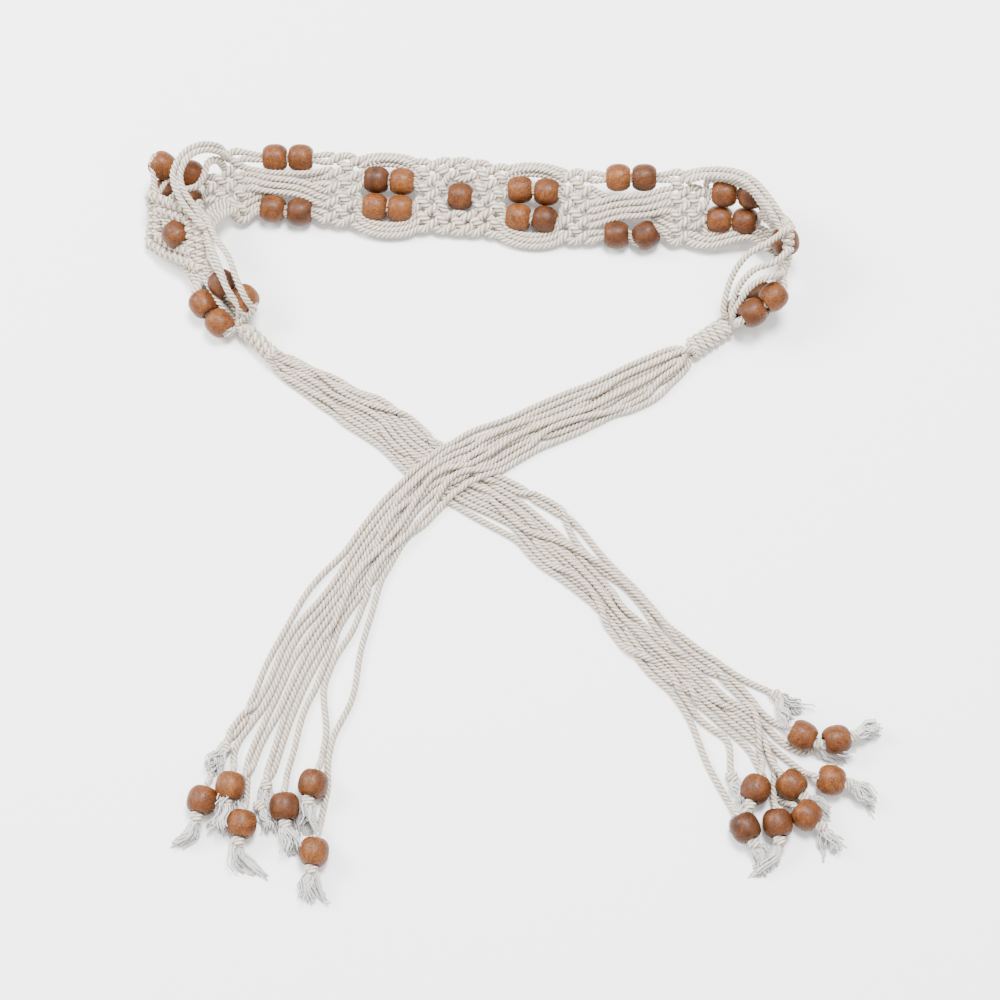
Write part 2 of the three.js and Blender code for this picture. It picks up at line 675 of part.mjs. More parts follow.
// A wrap knot lies on the table from the band's end towards the tail's first station.
function knotFrame(side, { axis, upright }) {
  const from = bandPoint(along(side), 0, 0).setZ(0);
  const tailStart = vec(axis[0].x * TAIL_LONG, axis[0].y * TAIL_LONG, 0);
  const direction = tailStart.sub(from).normalize();
  const [wide, high] = upright ? [KNOT_HIGH, KNOT_WIDE] : [KNOT_WIDE, KNOT_HIGH];
  return { side, from, direction, wide, high };
}

// A turned solid lying along a wrap knot, flat side down, from radius shares (r) at places (y).
function lying({ from, direction, high, wide }, profile, grow = 0) {
  const flat = Math.cos(Math.PI / KNOT_SIDES);
  const outline = profile.map(([r, y]) => new THREE.Vector2(r / flat, y));
  const shape = new THREE.LatheGeometry(outline, KNOT_SIDES).rotateY(Math.PI / KNOT_SIDES);
  shape.scale(wide / 2 + grow, 1, high / 2 + grow).rotateZ(-Math.PI / 2).translate(0, 0, high / 2);
  shape.rotateZ(Math.atan2(direction.y, direction.x));
  return solid(shape.translate(from.x, from.y, 0));
}

// The room that a wrap knot needs.
function knotRoom(knot) {
  const end = KNOT_LONG + GAP;
  return lying(knot, [[0, 0], [1, 0], [1, end], [0, end]], GAP);
}

// A rib for each square knot, drawn in between them.
function wrapKnot(knot) {
  const pitch = KNOT_LONG / KNOT_RIBS;
  const ribs = Array.from({ length: KNOT_RIBS }, (_, i) => [
    [KNOT_WAIST, GAP + i * pitch],
    [1, GAP + (i + 0.25) * pitch],
    [1, GAP + (i + 0.75) * pitch],
  ]);
  const end = GAP + KNOT_LONG;
  return lying(knot, [[0, GAP], ...ribs.flat(), [KNOT_WAIST, end], [0, end]]);
}

// The point of a tail at a station, v across it and n up from its underside.
function tailPoint(tail, mirror, start) {
  const rows = tail.axis.map(({ x, y, lift }, i) => ({
    s: i,
    x: i ? x * TAIL_LONG : start.x,
    y: i ? y * TAIL_LONG : start.y,
    z: lift * CORD,
  }));
  const middle = (t) => {
    const { x, y, z } = tableAt(rows, t);
    return vec(x, y, z);
  };
  return (t, v, n) => {
    const run = middle(t + 0.05).sub(middle(t - 0.05)).setZ(0).normalize();
    return middle(t).add(vec(-run.y * mirror * v, run.x * mirror * v, n));
  };
}

// The cords of a tail where they lie close, as one lock that is thicker where it is narrower.
function lock(tail, place) {
  const edges = tail.axis.map((_, i) => {
    const lanes = tail.cords.map((cord) => cord.lanes[i]);
    const [low, high] = [Math.min(...lanes), Math.max(...lanes)];
    return { s: i, middle: ((low + high) / 2) * LANE, wide: (high - low + 1) * LANE };
  });
  const row = (u) => tableAt(edges, u * tail.fan);
  const thick = (u) => Math.max(CORD * CORD_REST, (tail.cords.length * CORD * LANE) / row(u).wide);
  return strip({
    from: 0,
    to: tail.fan,
    v: (u) => row(u).middle,
    n: (u) => thick(u) / 2,
    wide: (u) => row(u).wide,
    thick,
    place,
    sides: 6,
    steps: tail.fan,
    blunt: LOCK_BLUNT,
  });
}

// How much higher a cord lies that has no room beside its neighbours. Every second cord is one of
// the lower ones.
function heap(tail, index, station) {
  if (index % 2 === 0) return 0;
  const lanes = tail.cords.map((cord) => cord.lanes[station]);
  const others = lanes.filter((_, i) => i !== index);
  const nearest = Math.min(...others.map((lane) => Math.abs(lane - lanes[index])));
  return CORD * HEAP * Math.min(1, Math.max(0, 2 - 2 * nearest));
}

function tailCord(tail, index, place) {
  const cord = tail.cords[index];
  const high = (station) => CORD / 2 + heap(tail, index, station);
  const end = vec(cord.end[0] * TAIL_LONG, cord.end[1] * TAIL_LONG, 0);
  const axis = vec(Math.cos(rad(cord.turn)), Math.sin(rad(cord.turn)), 0);
  const points = [place(tail.fan - FAN_TUCK, cord.lanes[tail.fan] * LANE, high(tail.fan))];
  for (let i = tail.fan; i < tail.axis.length; i++) {
    const at = place(i, cord.lanes[i] * LANE, high(i));
    const ahead = end.clone().sub(at).setZ(0);
    if (ahead.length() > BEAD_LONG + CORD && ahead.dot(axis) > 0) points.push(at);
  }
  for (const [x, y] of cord.via ?? [])
    points.push(vec(x * TAIL_LONG, y * TAIL_LONG, CORD / 2));
  if (cord.bare) {
    const knotAt = end.addScaledVector(axis, -FRAY_LONG).setZ(END_KNOT / 2);
    return { points: [...points, knotAt], knotAt, axis };
  }
  const centre = end.setZ(BEAD_WIDE / 2);
  const reach = BEAD_LONG / 2 + GAP;
  points.push(
    centre.clone().addScaledVector(axis, -reach),
    centre.clone().addScaledVector(axis, reach + LEAD_IN),
  );
  const knotAt = centre.clone().addScaledVector(axis, reach);
  return { points, axis, bead: { centre, axis }, knotAt };
}

// The knot at a cord's end and its frayed tip, which droops to the table.
function frayedEnd({ turn, fray = turn, bare }, at) {
  const droop = -at.z / (2 * FRAY_LONG * FRAY_FULL);
  const ahead = vec(Math.cos(rad(fray)), Math.sin(rad(fray)), droop).normalize();
  const start = bare ? -END_KNOT / 2 : 0;
  const profile = [
    [0, start],
    [END_KNOT / 2, start + END_KNOT / 4],
    [FRAY_WIDE / 2, start + FRAY_LONG * FRAY_FULL],
    [0, start + FRAY_LONG],
  ];
  return lathe(profile, FRAY_SIDES, pose(at, ahead));
}

function buildTail(name, tail, mirror, knot) {
  const from = knot.from.clone().addScaledVector(knot.direction, KNOT_LONG + 2 * GAP);
  const stubAt = from.addScaledVector(knot.direction, HEAD_LONG / 2).setZ(BUNDLE / 2);
  const stub = new THREE.CylinderGeometry(BUNDLE / 2, BUNDLE / 2, HEAD_LONG, 8, 1);
  const place = tailPoint(tail, mirror, stubAt);
  const pieces = [solid(stub.applyMatrix4(pose(stubAt, knot.direction))), lock(tail, place)];
  const ends = tail.cords.map((cord, index) => tailCord(tail, index, place));
  const beads = ends
    .filter((end) => end.bead)
    .map((end, i) => ({ ...end.bead, name: name + "_" + (i + 1) }));
  ends.forEach(({ points, knotAt }, index) => {
    pieces.push(tube(points, CORD, CORD_SIDES), frayedEnd(tail.cords[index], knotAt));
  });
  return { beads, shape: whole(join(pieces).subtract(join(beads.map(beadRoom)))) };
}

const leftKnot = knotFrame(-1, LEFT_TAIL);
const rightKnot = knotFrame(1, RIGHT_TAIL);
const { beads: bandBeads, band } = buildBand([leftKnot, rightKnot]);
const leftTail = buildTail("left_tail", LEFT_TAIL, 1, leftKnot);
const rightTail = buildTail("right_tail", RIGHT_TAIL, -1, rightKnot);

const belt = new THREE.Group();
belt.add(meshOf("plaited_band", band, cotton));
for (const bead of bandBeads) belt.add(meshOf("bead_" + bead.name, beadSolid(bead), wood));
belt.add(meshOf("wrap_knot_left", wrapKnot(leftKnot), cotton));
belt.add(meshOf("wrap_knot_right", wrapKnot(rightKnot), cotton));
belt.add(meshOf("tail_left", leftTail.shape, cotton));
belt.add(meshOf("tail_right", rightTail.shape, cotton));
for (const bead of [...leftTail.beads, ...rightTail.beads])
  belt.add(meshOf("bead_" + bead.name, beadSolid(bead), wood));

const box = new THREE.Box3().setFromObject(belt);
const centre = box.getCenter(new THREE.Vector3());
belt.position.set(-centre.x, -centre.y, -box.min.z);

export default belt;
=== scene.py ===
# %% [markdown]
# # A plaited cotton belt with wooden beads
# The belt is ten soft cotton cords, worked side by side. They are plaited flat, opened round
# groups of beads, hitched into two diamonds and bound by a knot at each end, and then they hang
# free as two fringes of bare cords with a bead on most of them. So almost everything here is one
# idea, a cord that follows a path. The lesson builds that idea once and then works out the paths.
# The first cell loads the fixed frame.

# %% Load the frame
import math
import bpy
import numpy as np
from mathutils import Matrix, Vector


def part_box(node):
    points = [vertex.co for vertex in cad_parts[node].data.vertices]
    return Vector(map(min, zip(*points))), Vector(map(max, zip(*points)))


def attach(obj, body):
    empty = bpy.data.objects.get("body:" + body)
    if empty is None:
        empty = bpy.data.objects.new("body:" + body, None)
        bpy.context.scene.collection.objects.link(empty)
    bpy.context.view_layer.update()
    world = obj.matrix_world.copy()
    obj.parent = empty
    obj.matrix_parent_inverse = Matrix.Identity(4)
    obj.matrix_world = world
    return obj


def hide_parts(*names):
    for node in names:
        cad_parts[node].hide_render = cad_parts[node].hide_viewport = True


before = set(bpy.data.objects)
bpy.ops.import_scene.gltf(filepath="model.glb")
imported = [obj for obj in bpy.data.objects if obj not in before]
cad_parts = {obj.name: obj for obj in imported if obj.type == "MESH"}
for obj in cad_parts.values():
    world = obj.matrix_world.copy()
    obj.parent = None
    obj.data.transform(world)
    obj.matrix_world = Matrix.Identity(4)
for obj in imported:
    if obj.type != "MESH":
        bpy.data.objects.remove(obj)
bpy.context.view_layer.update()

# %% [markdown]
# ## The camera
# The belt was photographed from above and a little in front. A long lens at a distance of over a
# metre keeps the far side and the near side at nearly the same scale. The camera comes first, so
# that everything after it can be judged through it.

# %% Set up the camera
HEIGHT_ANGLE = math.radians(70)
CAMERA_AWAY = 1.227
LENS = 78.66
AIM = Vector((0.00395, 0.0041, 0.0))

lens_data = bpy.data.cameras.new("photo_camera")
lens_data.lens = LENS
lens_data.sensor_width = 36
camera = bpy.data.objects.new("photo_camera", lens_data)
bpy.context.scene.collection.objects.link(camera)
back_off = Vector((0, -math.cos(HEIGHT_ANGLE), math.sin(HEIGHT_ANGLE))) * CAMERA_AWAY
camera.location = AIM + back_off
camera.rotation_euler = (-back_off).to_track_quat("-Z", "Y").to_euler()
bpy.context.scene.camera = camera
print("camera at", [round(c, 3) for c in camera.location])

# %% [markdown]
# ## The sizes
# These are the real sizes in millimetres. A cord of 4 mm is laid from three strands, and it goes
# once round in about 8 mm, so its ridges repeat every 2.7 mm.

# %% Sizes in millimetres
CORD = 4.0
IN_PLAIT = 5.0
IN_BEAD = 3.4
IN_FRINGE = 3.8
LAY = 8.0
PLAIT_WIDE = 43
SLOTS = 10
SLOT = 4.4
BEAD_WIDE = 16
BEAD_LONG = 14
BEAD_HOLE = 6.6
IN_HOLE = 1.5
BAND_LEFT = 292
BAND_RIGHT = 266
CLUSTER_HALF = 17.55
PAIRS_HALF = 24
LOOP = 370
TAIL_LONG = 400
LANE = 3.5
KNOT_LONG = 26
FRAY_LONG = 16
print("cord", CORD, "mm, one turn of its strands in", LAY, "mm")

# %% [markdown]
# ## Where the band lies
# The band is a ribbon that bends, leans and twists. A short table gives its middle line: the place
# along it, where that is on the table, how high, and how far the ribbon leans up from flat. One
# smooth curve runs through the rows, and it gives any point of the ribbon from three numbers:
# along it, across it and off its face. Paths that are easy on a flat ribbon then follow the bend.

# %% The middle line of the band
SPINE = np.array([
    # s, x, y, lift, tilt
    (-1.0, -0.293, 0.236, 0.1, 160),
    (-0.932, -0.328, 0.267, 0.13, 157),
    (-0.87, -0.35, 0.303, 0.16, 150),
    (-0.808, -0.374, 0.344, 0.21, 146),
    (-0.75, -0.4, 0.38, 0.24, 142),
    (-0.692, -0.425, 0.419, 0.28, 128),
    (-0.63, -0.45, 0.46, 0.36, 98),
    (-0.6, -0.432, 0.475, 0.3, 72),
    (-0.566, -0.405, 0.471, 0.2, 45),
    (-0.504, -0.356, 0.467, 0.14, 28),
    (-0.432, -0.299, 0.474, 0.12, 19),
    (-0.35, -0.231, 0.477, 0.12, 16),
    (-0.267, -0.166, 0.472, 0.09, 14),
    (-0.146, -0.071, 0.462, 0.06, 14),
    (0, 0.043, 0.459, 0.05, 14),
    (0.16, 0.157, 0.443, 0.07, 17),
    (0.286, 0.247, 0.436, 0.12, 22),
    (0.376, 0.311, 0.434, 0.17, 26),
    (0.466, 0.376, 0.432, 0.18, 30),
    (0.538, 0.428, 0.431, 0.2, 36),
    (0.605, 0.475, 0.429, 0.24, 48),
    (0.67, 0.515, 0.414, 0.32, 70),
    (0.72, 0.54, 0.388, 0.37, 86),
    (0.765, 0.549, 0.36, 0.38, 92),
    (0.812, 0.547, 0.327, 0.35, 86),
    (0.86, 0.534, 0.297, 0.25, 72),
    (0.929, 0.504, 0.265, 0.16, 54),
    (1.0, 0.46, 0.242, 0.1, 42),
])


def along(share):
    """Millimetres from the middle bead: the share times the length of the band on its side."""
    return share * (BAND_LEFT if share < 0 else BAND_RIGHT)


def through_rows(rows, s):
    """All columns at place s (column 0): between two rows a cubic that starts and ends with the
    slope of the line between the neighbouring rows."""
    rows, s = np.asarray(rows, float), np.atleast_1d(np.asarray(s, float))
    last = len(rows) - 1
    before, after = np.arange(last + 1) - 1, np.arange(last + 1) + 1
    a, b = rows[np.maximum(before, 0)], rows[np.minimum(after, last)]
    slope = (b - a) / (b[:, :1] - a[:, :1])
    i = np.clip(np.searchsorted(rows[:, 0], s, side="right") - 1, 0, last - 1)
    span = (rows[i + 1, 0] - rows[i, 0])[:, None]
    t = (s[:, None] - rows[i, :1]) / span
    start = rows[i] * (1 + 2 * t) * (1 - t) ** 2 + slope[i] * span * t * (1 - t) ** 2
    end = rows[i + 1] * t * t * (3 - 2 * t) + slope[i + 1] * span * t * t * (t - 1)
    return start + end


UP = np.array([0, 0, 1.0])


def unit(v):
    """Each row divided by its own length."""
    return v / np.maximum(np.linalg.norm(v, axis=-1, keepdims=True), 1e-9)


def left_of(run):
    """The level direction square to a run, on its left, for one run or for rows of runs."""
    return np.stack([-run[..., 1], run[..., 0], 0 * run[..., 0]], -1)


spine_rows = SPINE.copy()
spine_rows[:, 0] = [along(share) for share in SPINE[:, 0]]
spine_rows[:, 1:3] *= LOOP
spine_rows[:, 3] = BEAD_WIDE / 2 + SPINE[:, 3] * PLAIT_WIDE

lo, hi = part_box("bead_middle")
middle = np.array((lo + hi) / 2) * 1000
origin = middle - through_rows(spine_rows, 0)[0, 1:4]


def spine_at(s):
    """The middle line's point at s, moved so that s = 0 is in the middle bead."""
    return through_rows(spine_rows, s)[:, 1:4] + origin


def band_at(s, v=0.0, n=0.0):
    """Middle line at s, plus v along the ribbon's width, plus n along its normal. The width leans
    up from flat by the table's tilt, and the normal is the run crossed with it."""
    s, v, n = np.broadcast_arrays(*map(np.atleast_1d, (s, v, n)))
    run = unit(spine_at(s + 1) - spine_at(s - 1))
    tilt = np.radians(through_rows(spine_rows, s)[:, 4])[:, None]
    across = unit(left_of(run)) * np.cos(tilt) + UP * np.sin(tilt)
    normal = unit(np.cross(run, across))
    return spine_at(s) + across * v[:, None] + normal * n[:, None]


print("the middle bead is at", middle.round(1), "and the left knot at", band_at(-BAND_LEFT)[0].round(1))

# %% [markdown]
# ## Where the beads are
# Every bead is already in the frame, drilled along its own axis. Its corners tell where it is: their
# mean is its centre, and they spread most along the axis. Reading them keeps the cords in the holes.

# %% Read each bead's centre and axis
def node_corners(name):
    """The different corner points of a node's mesh, in millimetres."""
    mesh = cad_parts[name].data
    corners = np.empty(3 * len(mesh.vertices), np.float32)
    mesh.vertices.foreach_get("co", corners)
    return np.unique((corners.reshape(-1, 3) * 1000).round(2), axis=0)


def bead_place(name):
    """Centre: the corners' mean. Axis: the direction in which they spread most."""
    corners = node_corners(name)
    centre = corners.mean(0)
    _, directions = np.linalg.eigh(np.cov((corners - centre).T))
    return centre, directions[:, 2]


bead_names = sorted(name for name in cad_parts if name.startswith("bead_"))
beads = {name[5:]: bead_place(name) for name in bead_names}
print(len(beads), "beads")

# %% [markdown]
# ## A smooth path
# A cord is soft, so it never turns a corner. A few points are enough to say where it goes: a curve
# is put through them, and it is measured out again in even steps, so that the strands turn evenly.

# %% Curve through points, in even steps
STEP = 0.95
HALF_CORD = CORD / 2


def lengths_along(path):
    """How far along a path each of its points is."""
    return np.r_[0, np.cumsum(np.linalg.norm(np.diff(path, axis=0), axis=1))]


def eased(path):
    """Twice, each inner point moves half way to the mean of its neighbours."""
    for _ in range(2):
        path[1:-1] = path[1:-1] * 0.5 + (path[2:] + path[:-2]) * 0.25
    return path


def above_table(points, least=HALF_CORD * 0.9):
    """The points, with those that are lower than the least height raised to it."""
    points = np.array(points, float)
    points[..., 2] = np.maximum(points[..., 2], least)
    return points


def smooth_path(points, step=STEP):
    """A cubic from point to point, whose slope at each point is the weighted mean of the slopes on
    both sides. Parameter steps are the square root of the distances. The curve is sampled closely,
    read again at even lengths, and eased."""
    p = np.asarray(points, float)
    gap = np.linalg.norm(np.diff(p, axis=0), axis=1)
    p = p[np.r_[True, gap > 0.4]]
    h = np.sqrt(np.linalg.norm(np.diff(p, axis=0), axis=1))
    knots = np.r_[0, np.cumsum(h)]
    leg = np.diff(p, axis=0) / h[:, None]
    inner = (leg[1:] * h[:-1, None] + leg[:-1] * h[1:, None]) / (h[1:] + h[:-1])[:, None]
    slope = np.vstack([leg[:1], inner, leg[-1:]])
    fine = np.linspace(0, knots[-1], 12 * len(p))
    i = np.clip(np.searchsorted(knots, fine, side="right") - 1, 0, len(h) - 1)
    t = ((fine - knots[i]) / h[i])[:, None]
    w = h[i][:, None]
    curve = (
        p[i] * (1 + 2 * t) * (1 - t) ** 2
        + slope[i] * w * t * (1 - t) ** 2
        + p[i + 1] * t * t * (3 - 2 * t)
        + slope[i + 1] * w * t * t * (t - 1)
    )
    length = lengths_along(curve)
    even = np.linspace(0, length[-1], max(4, int(round(length[-1] / step)) + 1))
    return eased(np.stack([np.interp(even, length, curve[:, k]) for k in range(3)], 1))


test_path = smooth_path(band_at(np.arange(-200, 200, 10)))
print("a test path of", len(test_path), "points measures", lengths_along(test_path)[-1].round(1), "mm")

# %% [markdown]
# ## A laid cord
# Three strands twisted together give a section with three round lobes. That section is carried along
# the path and turned as it goes, so the lobes wind round as the strands do. The modelled ridges
# catch the light in the same way from every side, which a bump alone would not do at the outline.
# Each point also remembers its place round the cord and along it, for the cotton's fibres.

# %% Carry a three-lobed section along a path
ROUND = 12
LOBE_OUT = 0.4
LOBE_WIDE = 0.6
AROUND = (np.arange(ROUND) / ROUND) * 2 * np.pi


def lobed(angle):
    """Radius as a share of the cord's: the outline of three circles set out from the middle. In
    each third the distance to the circle's far side is out cos a + sqrt(wide^2 - (out sin a)^2)."""
    third = (angle + np.pi / 3) % (2 * np.pi / 3) - np.pi / 3
    return LOBE_OUT * np.cos(third) + np.sqrt(LOBE_WIDE**2 - (LOBE_OUT * np.sin(third)) ** 2)


def laid_cord(path, level=UP, thick=CORD, start=0.0, ridge=1.0):
    """Point = path + radius (cos angle side + sin angle up), with angle = round the cord plus a
    full turn for each lay. thick is one value or one for each point of the path. ridge is how much
    of the lobes' depth is left where a cord is pulled tight. Returns the points and the lays."""
    path = np.asarray(path, float)
    run = unit(np.gradient(path, axis=0))
    side = unit(np.cross(run, np.broadcast_to(level, path.shape)))
    up = np.cross(side, run)
    lays = lengths_along(path) / LAY
    angle = AROUND[None, :] + 2 * np.pi * (lays + start)[:, None]
    half = np.broadcast_to(np.asarray(thick) / 2, len(path))
    radius = half[:, None] * (1 - ridge * (1 - lobed(AROUND)))[None, :]
    points = path[:, None] + radius[..., None] * (
        np.cos(angle)[..., None] * side[:, None] + np.sin(angle)[..., None] * up[:, None]
    )
    return points, lays


# %% [markdown]
# ## From grids to one mesh
# A piece is often several cords. Each is a grid that is closed round and capped at both ends, and a
# piece gathers its grids into one mesh with one map of places. The order of the corners makes the
# faces point outwards.

# %% Gather grids into one piece
def capped_grid(points, first):
    """Faces of a grid closed round: (row, column) to its neighbours, then a fan at each end round a
    point in the middle of the end ring."""
    rows, cols = points.shape[:2]
    index = np.arange(rows * cols).reshape(rows, cols) + first
    nxt = np.roll(index, -1, axis=1)
    quads = np.stack([index[:-1], nxt[:-1], nxt[1:], index[1:]], -1).reshape(-1, 4)
    ends = first + rows * cols + np.arange(2)
    near = np.stack([nxt[0], index[0], np.full(cols, ends[0])], -1)
    far = np.stack([index[-1], nxt[-1], np.full(cols, ends[1])], -1)
    verts = np.vstack([points.reshape(-1, 3), points[0].mean(0), points[-1].mean(0)])
    return verts, quads, np.vstack([near, far])


def put_mesh(name, verts, quads, tris):
    """A smooth mesh object from arrays of points in millimetres and corner numbers, at the origin."""
    mesh = bpy.data.meshes.new(name)
    mesh.vertices.add(len(verts))
    mesh.vertices.foreach_set("co", (np.asarray(verts) / 1000).astype(np.float32).ravel())
    loops = np.concatenate([quads.ravel(), tris.ravel()]).astype(np.int32)
    sizes = np.concatenate([np.full(len(quads), 4), np.full(len(tris), 3)]).astype(np.int32)
    mesh.loops.add(len(loops))
    mesh.loops.foreach_set("vertex_index", loops)
    mesh.polygons.add(len(sizes))
    mesh.polygons.foreach_set("loop_start", np.r_[0, np.cumsum(sizes)[:-1]].astype(np.int32))
    mesh.update(calc_edges=True)
    mesh.validate()
    mesh.shade_smooth()
    piece = bpy.data.objects.new(name, mesh)
    bpy.context.scene.collection.objects.link(piece)
    return piece


def corner_values(piece, name, kind, values):
    """Stores one value for each point of the mesh under a name that the materials read."""
    attribute = piece.data.attributes.new(name, kind, "POINT")
    flat = np.asarray(values, np.float32).ravel()
    attribute.data.foreach_set("vector" if kind == "FLOAT_VECTOR" else "value", flat)


def tube_piece(name, tubes, replaced, seeds):
    """One piece from several tubes, each a grid and its places along, with its place map: x is round
    the tube from 0 to 1, y is along it in lays, z is a number of its own for each tube."""
    verts, quads, tris, places = [], [], [], []
    first = 0
    for (points, lays), seed in zip(tubes, seeds):
        v, q, t = capped_grid(points, first)
        verts.append(v)
        quads.append(q)
        tris.append(t)
        rows, cols = points.shape[:2]
        across = np.broadcast_to(np.arange(cols) / cols, (rows, cols))
        down = np.broadcast_to(lays[:, None], (rows, cols))
        grid = np.stack([across, down, np.full((rows, cols), seed)], -1).reshape(-1, 3)
        places.append(np.vstack([grid, grid[0], grid[-1]]))
        first += len(v)
    piece = put_mesh(name, np.vstack(verts), np.vstack(quads), np.vstack(tris))
    corner_values(piece, "lay", "FLOAT_VECTOR", np.vstack(places))
    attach(piece, "root")
    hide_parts(*replaced)
    print(name, len(tubes), "tubes,", 2 * len(piece.data.polygons), "triangles")
    return piece


def cord_piece(name, cords, replaced):
    """A piece of laid cords. Its seeds depend on its name, so that no two pieces look the same."""
    return tube_piece(name, cords, replaced, 0.37 * np.arange(len(cords)) + 0.11 * len(name))


cotton_pieces = []

# %% [markdown]
# ## The plait
# In a flat plait each cord goes steadily from one edge to the other and back. At every step
# neighbouring cords change places: first the pairs that start at the edge, then the pairs between
# them. A cord on its way up passes over at one step and under at the next, and a cord on its way
# down does the opposite, so the work is an even weave. The band has ten slots, and the program
# below only keeps track of which cord is in which slot. Its points are where the cords cross.

# %% Plait, step by step
PLAIT_OVER = 1.95
EDGE_OUT = 0.6
ASIDE_FIRST = BEAD_WIDE / 2 + 2.3
ASIDE_APART = 3.7
ASIDE_FROM = 13.5
ASIDE_EASE = 6
routes = [[] for _ in range(SLOTS)]
order = list(range(SLOTS))
step_number = 0


def slot_place(j, s):
    """Where slot j is across the band. Near the middle bead the four slots on each side move out
    from it: their places are eased from even spacing to a row that starts beyond the bead."""
    even = (j - (SLOTS - 1) / 2) * SLOT
    if j in (4, 5):
        return even
    away = abs(j - 4.5) - 1.5
    aside = np.sign(even) * (ASIDE_FIRST + away * ASIDE_APART)
    near = np.clip((ASIDE_FROM - abs(s)) / ASIDE_EASE, 0, 1)
    return even + (aside - even) * near


def visit(cord, s, v, n=0.0):
    """The cord's route goes on to a place on the ribbon."""
    routes[cord].append(band_at(s, v, n)[0])


def plait(start, end, steps, leave_out=()):
    """From start to end in even steps. Half a step in, two cords cross at the mean of their slots,
    half a cord over and half a cord under the band's middle, and at the step they are level."""
    global order, step_number
    size = (end - start) / steps
    for k in range(steps):
        odd = step_number % 2
        half = start + (k + 0.5) * size
        after = start + (k + 1) * size
        moved = order[:]
        for j in range(odd, SLOTS - 1, 2):
            if j in leave_out or j + 1 in leave_out:
                continue
            v = (slot_place(j, half) + slot_place(j + 1, half)) / 2
            over = PLAIT_OVER * (-1 if odd else 1)
            visit(order[j], half, v, over)
            visit(order[j + 1], half, v, -over)
            moved[j], moved[j + 1] = order[j + 1], order[j]
        if odd and not leave_out:
            visit(order[0], half, slot_place(0, half) - EDGE_OUT)
            visit(order[-1], half, slot_place(SLOTS - 1, half) + EDGE_OUT)
        order = moved
        for j, cord in enumerate(order):
            if j not in leave_out:
                visit(cord, after, slot_place(j, after))
        step_number += 1


def bore_points(bead, sideways, outside=0.6):
    """Two points on the bead's axis just outside its faces, moved sideways in the hole."""
    centre, axis = beads[bead]
    reach = BEAD_LONG / 2 + outside
    return [centre - axis * reach + sideways, centre + axis * reach + sideways]


def towards(points, goal):
    """The points in the order in which a cord that heads for the goal meets them."""
    return sorted(points, key=lambda p: -np.linalg.norm(p - goal))


def bead_row(group, row):
    """The names of the two beads in one row of a group."""
    return [group + "_" + row + "_1", group + "_" + row + "_2"]


def across_at(s):
    """The direction of the ribbon's width at s."""
    return unit(band_at(s, 1) - band_at(s, -1))[0]


def thread_row(row_names, mid, sign):
    """Points through a row of beads, from smaller to larger s, for the cord on one side (sign)."""
    across = across_at(mid)
    out = []
    for name in row_names:
        _, axis = beads[name]
        sideways = unit(across - axis * (across @ axis)) * IN_HOLE * sign
        out += towards(bore_points(name, sideways), band_at(mid + 80)[0])
    return out


print("slots across the band:", [round(slot_place(j, 40), 1) for j in range(SLOTS)])

# %% [markdown]
# ## Openings with beads
# A group of four beads opens the plait: two cords run through each row of beads, and the three cords
# on each edge swing out round them. At a pair of edge beads, the outer two cords on each side carry
# the beads, four cords slant across in front and two slant across behind.

# %% Groups of four beads and edge pairs
ARC_OUT = BEAD_WIDE + 2.3
ARC_APART = {"lower": 3.1, "upper": 2.6}
ARC_LIFTS = {"lower": (0, 0, 0), "upper": (-1.2, 1.2, -1.0)}
SLANT_LIFT = 2.1
SLANT_DRIFT = 3.2
SLANT_POWER = 2.2


def belly(u):
    """How far a loose cord swings out: a half wave with a broad top."""
    return np.sin(np.pi * u) ** 0.6


def cluster(name, mid):
    """Slots 3, 4 and 5, 6 through the rows, 0 to 2 and 7 to 9 round them. At the fullest point the
    loose cords lie beyond the beads, a cord apart."""
    end = mid + CLUSTER_HALF
    for j, cord in enumerate(order):
        row = "lower" if j < 5 else "upper"
        if 3 <= j <= 6:
            routes[cord] += thread_row(bead_row(name, row), mid, -1 if j in (3, 5) else 1)
        else:
            place = slot_place(j, end)
            rank = 2 - j if j < 3 else j - 7
            out = ARC_OUT + ARC_APART[row] * rank
            for u in (0.14, 0.32, 0.5, 0.68, 0.86):
                v = place + (math.copysign(out, place) - place) * belly(u)
                visit(cord, mid + (2 * u - 1) * CLUSTER_HALF, v, ARC_LIFTS[row][rank])
        visit(cord, end + 0.4, slot_place(j, end))


def edge_pairs(name, mid, lean):
    """Slots 0, 1 and 8, 9 through the edge beads. Of the six cords between them four cross in front
    and two behind: hops says how many slots each moves. Between the beads they lie close together,
    and their places there are eased to their slots with the distance from the middle to a power."""
    global order
    if lean < 0:
        hops = {2: 3, 3: 3, 4: -2, 5: -2, 6: -2, 7: 0}
    else:
        hops = {2: 2, 3: 2, 4: 2, 5: 2, 6: -4, 7: -4}
    behind = (2, 3) if lean < 0 else (6, 7)
    front = [j for j in hops if j not in behind]
    last = mid + PAIRS_HALF
    moved = order[:]
    for j, cord in enumerate(order):
        if j not in hops:
            row = "lower" if j < 2 else "upper"
            routes[cord] += thread_row(bead_row(name, row), mid, -1 if j in (0, 8) else 1)
            visit(cord, last, slot_place(j, last))
            continue
        group, n = (behind, -SLANT_LIFT) if j in behind else (front, SLANT_LIFT)
        close = (j - sum(group) / len(group)) * (CORD - 0.1)
        goal = j + hops[j]
        moved[goal] = cord
        for u in (0.1, 0.22, 0.36, 0.5, 0.64, 0.78, 0.9):
            end = slot_place(j if u < 0.5 else goal, last)
            far = abs(2 * u - 1) ** SLANT_POWER
            drift = np.sign(hops[j]) * (u - 0.5) * SLANT_DRIFT
            v = close + drift + (end - close) * far
            visit(cord, mid + (2 * u - 1) * PAIRS_HALF, v, n * (1 - far**2))
        visit(cord, last, slot_place(goal, last))
    order = moved


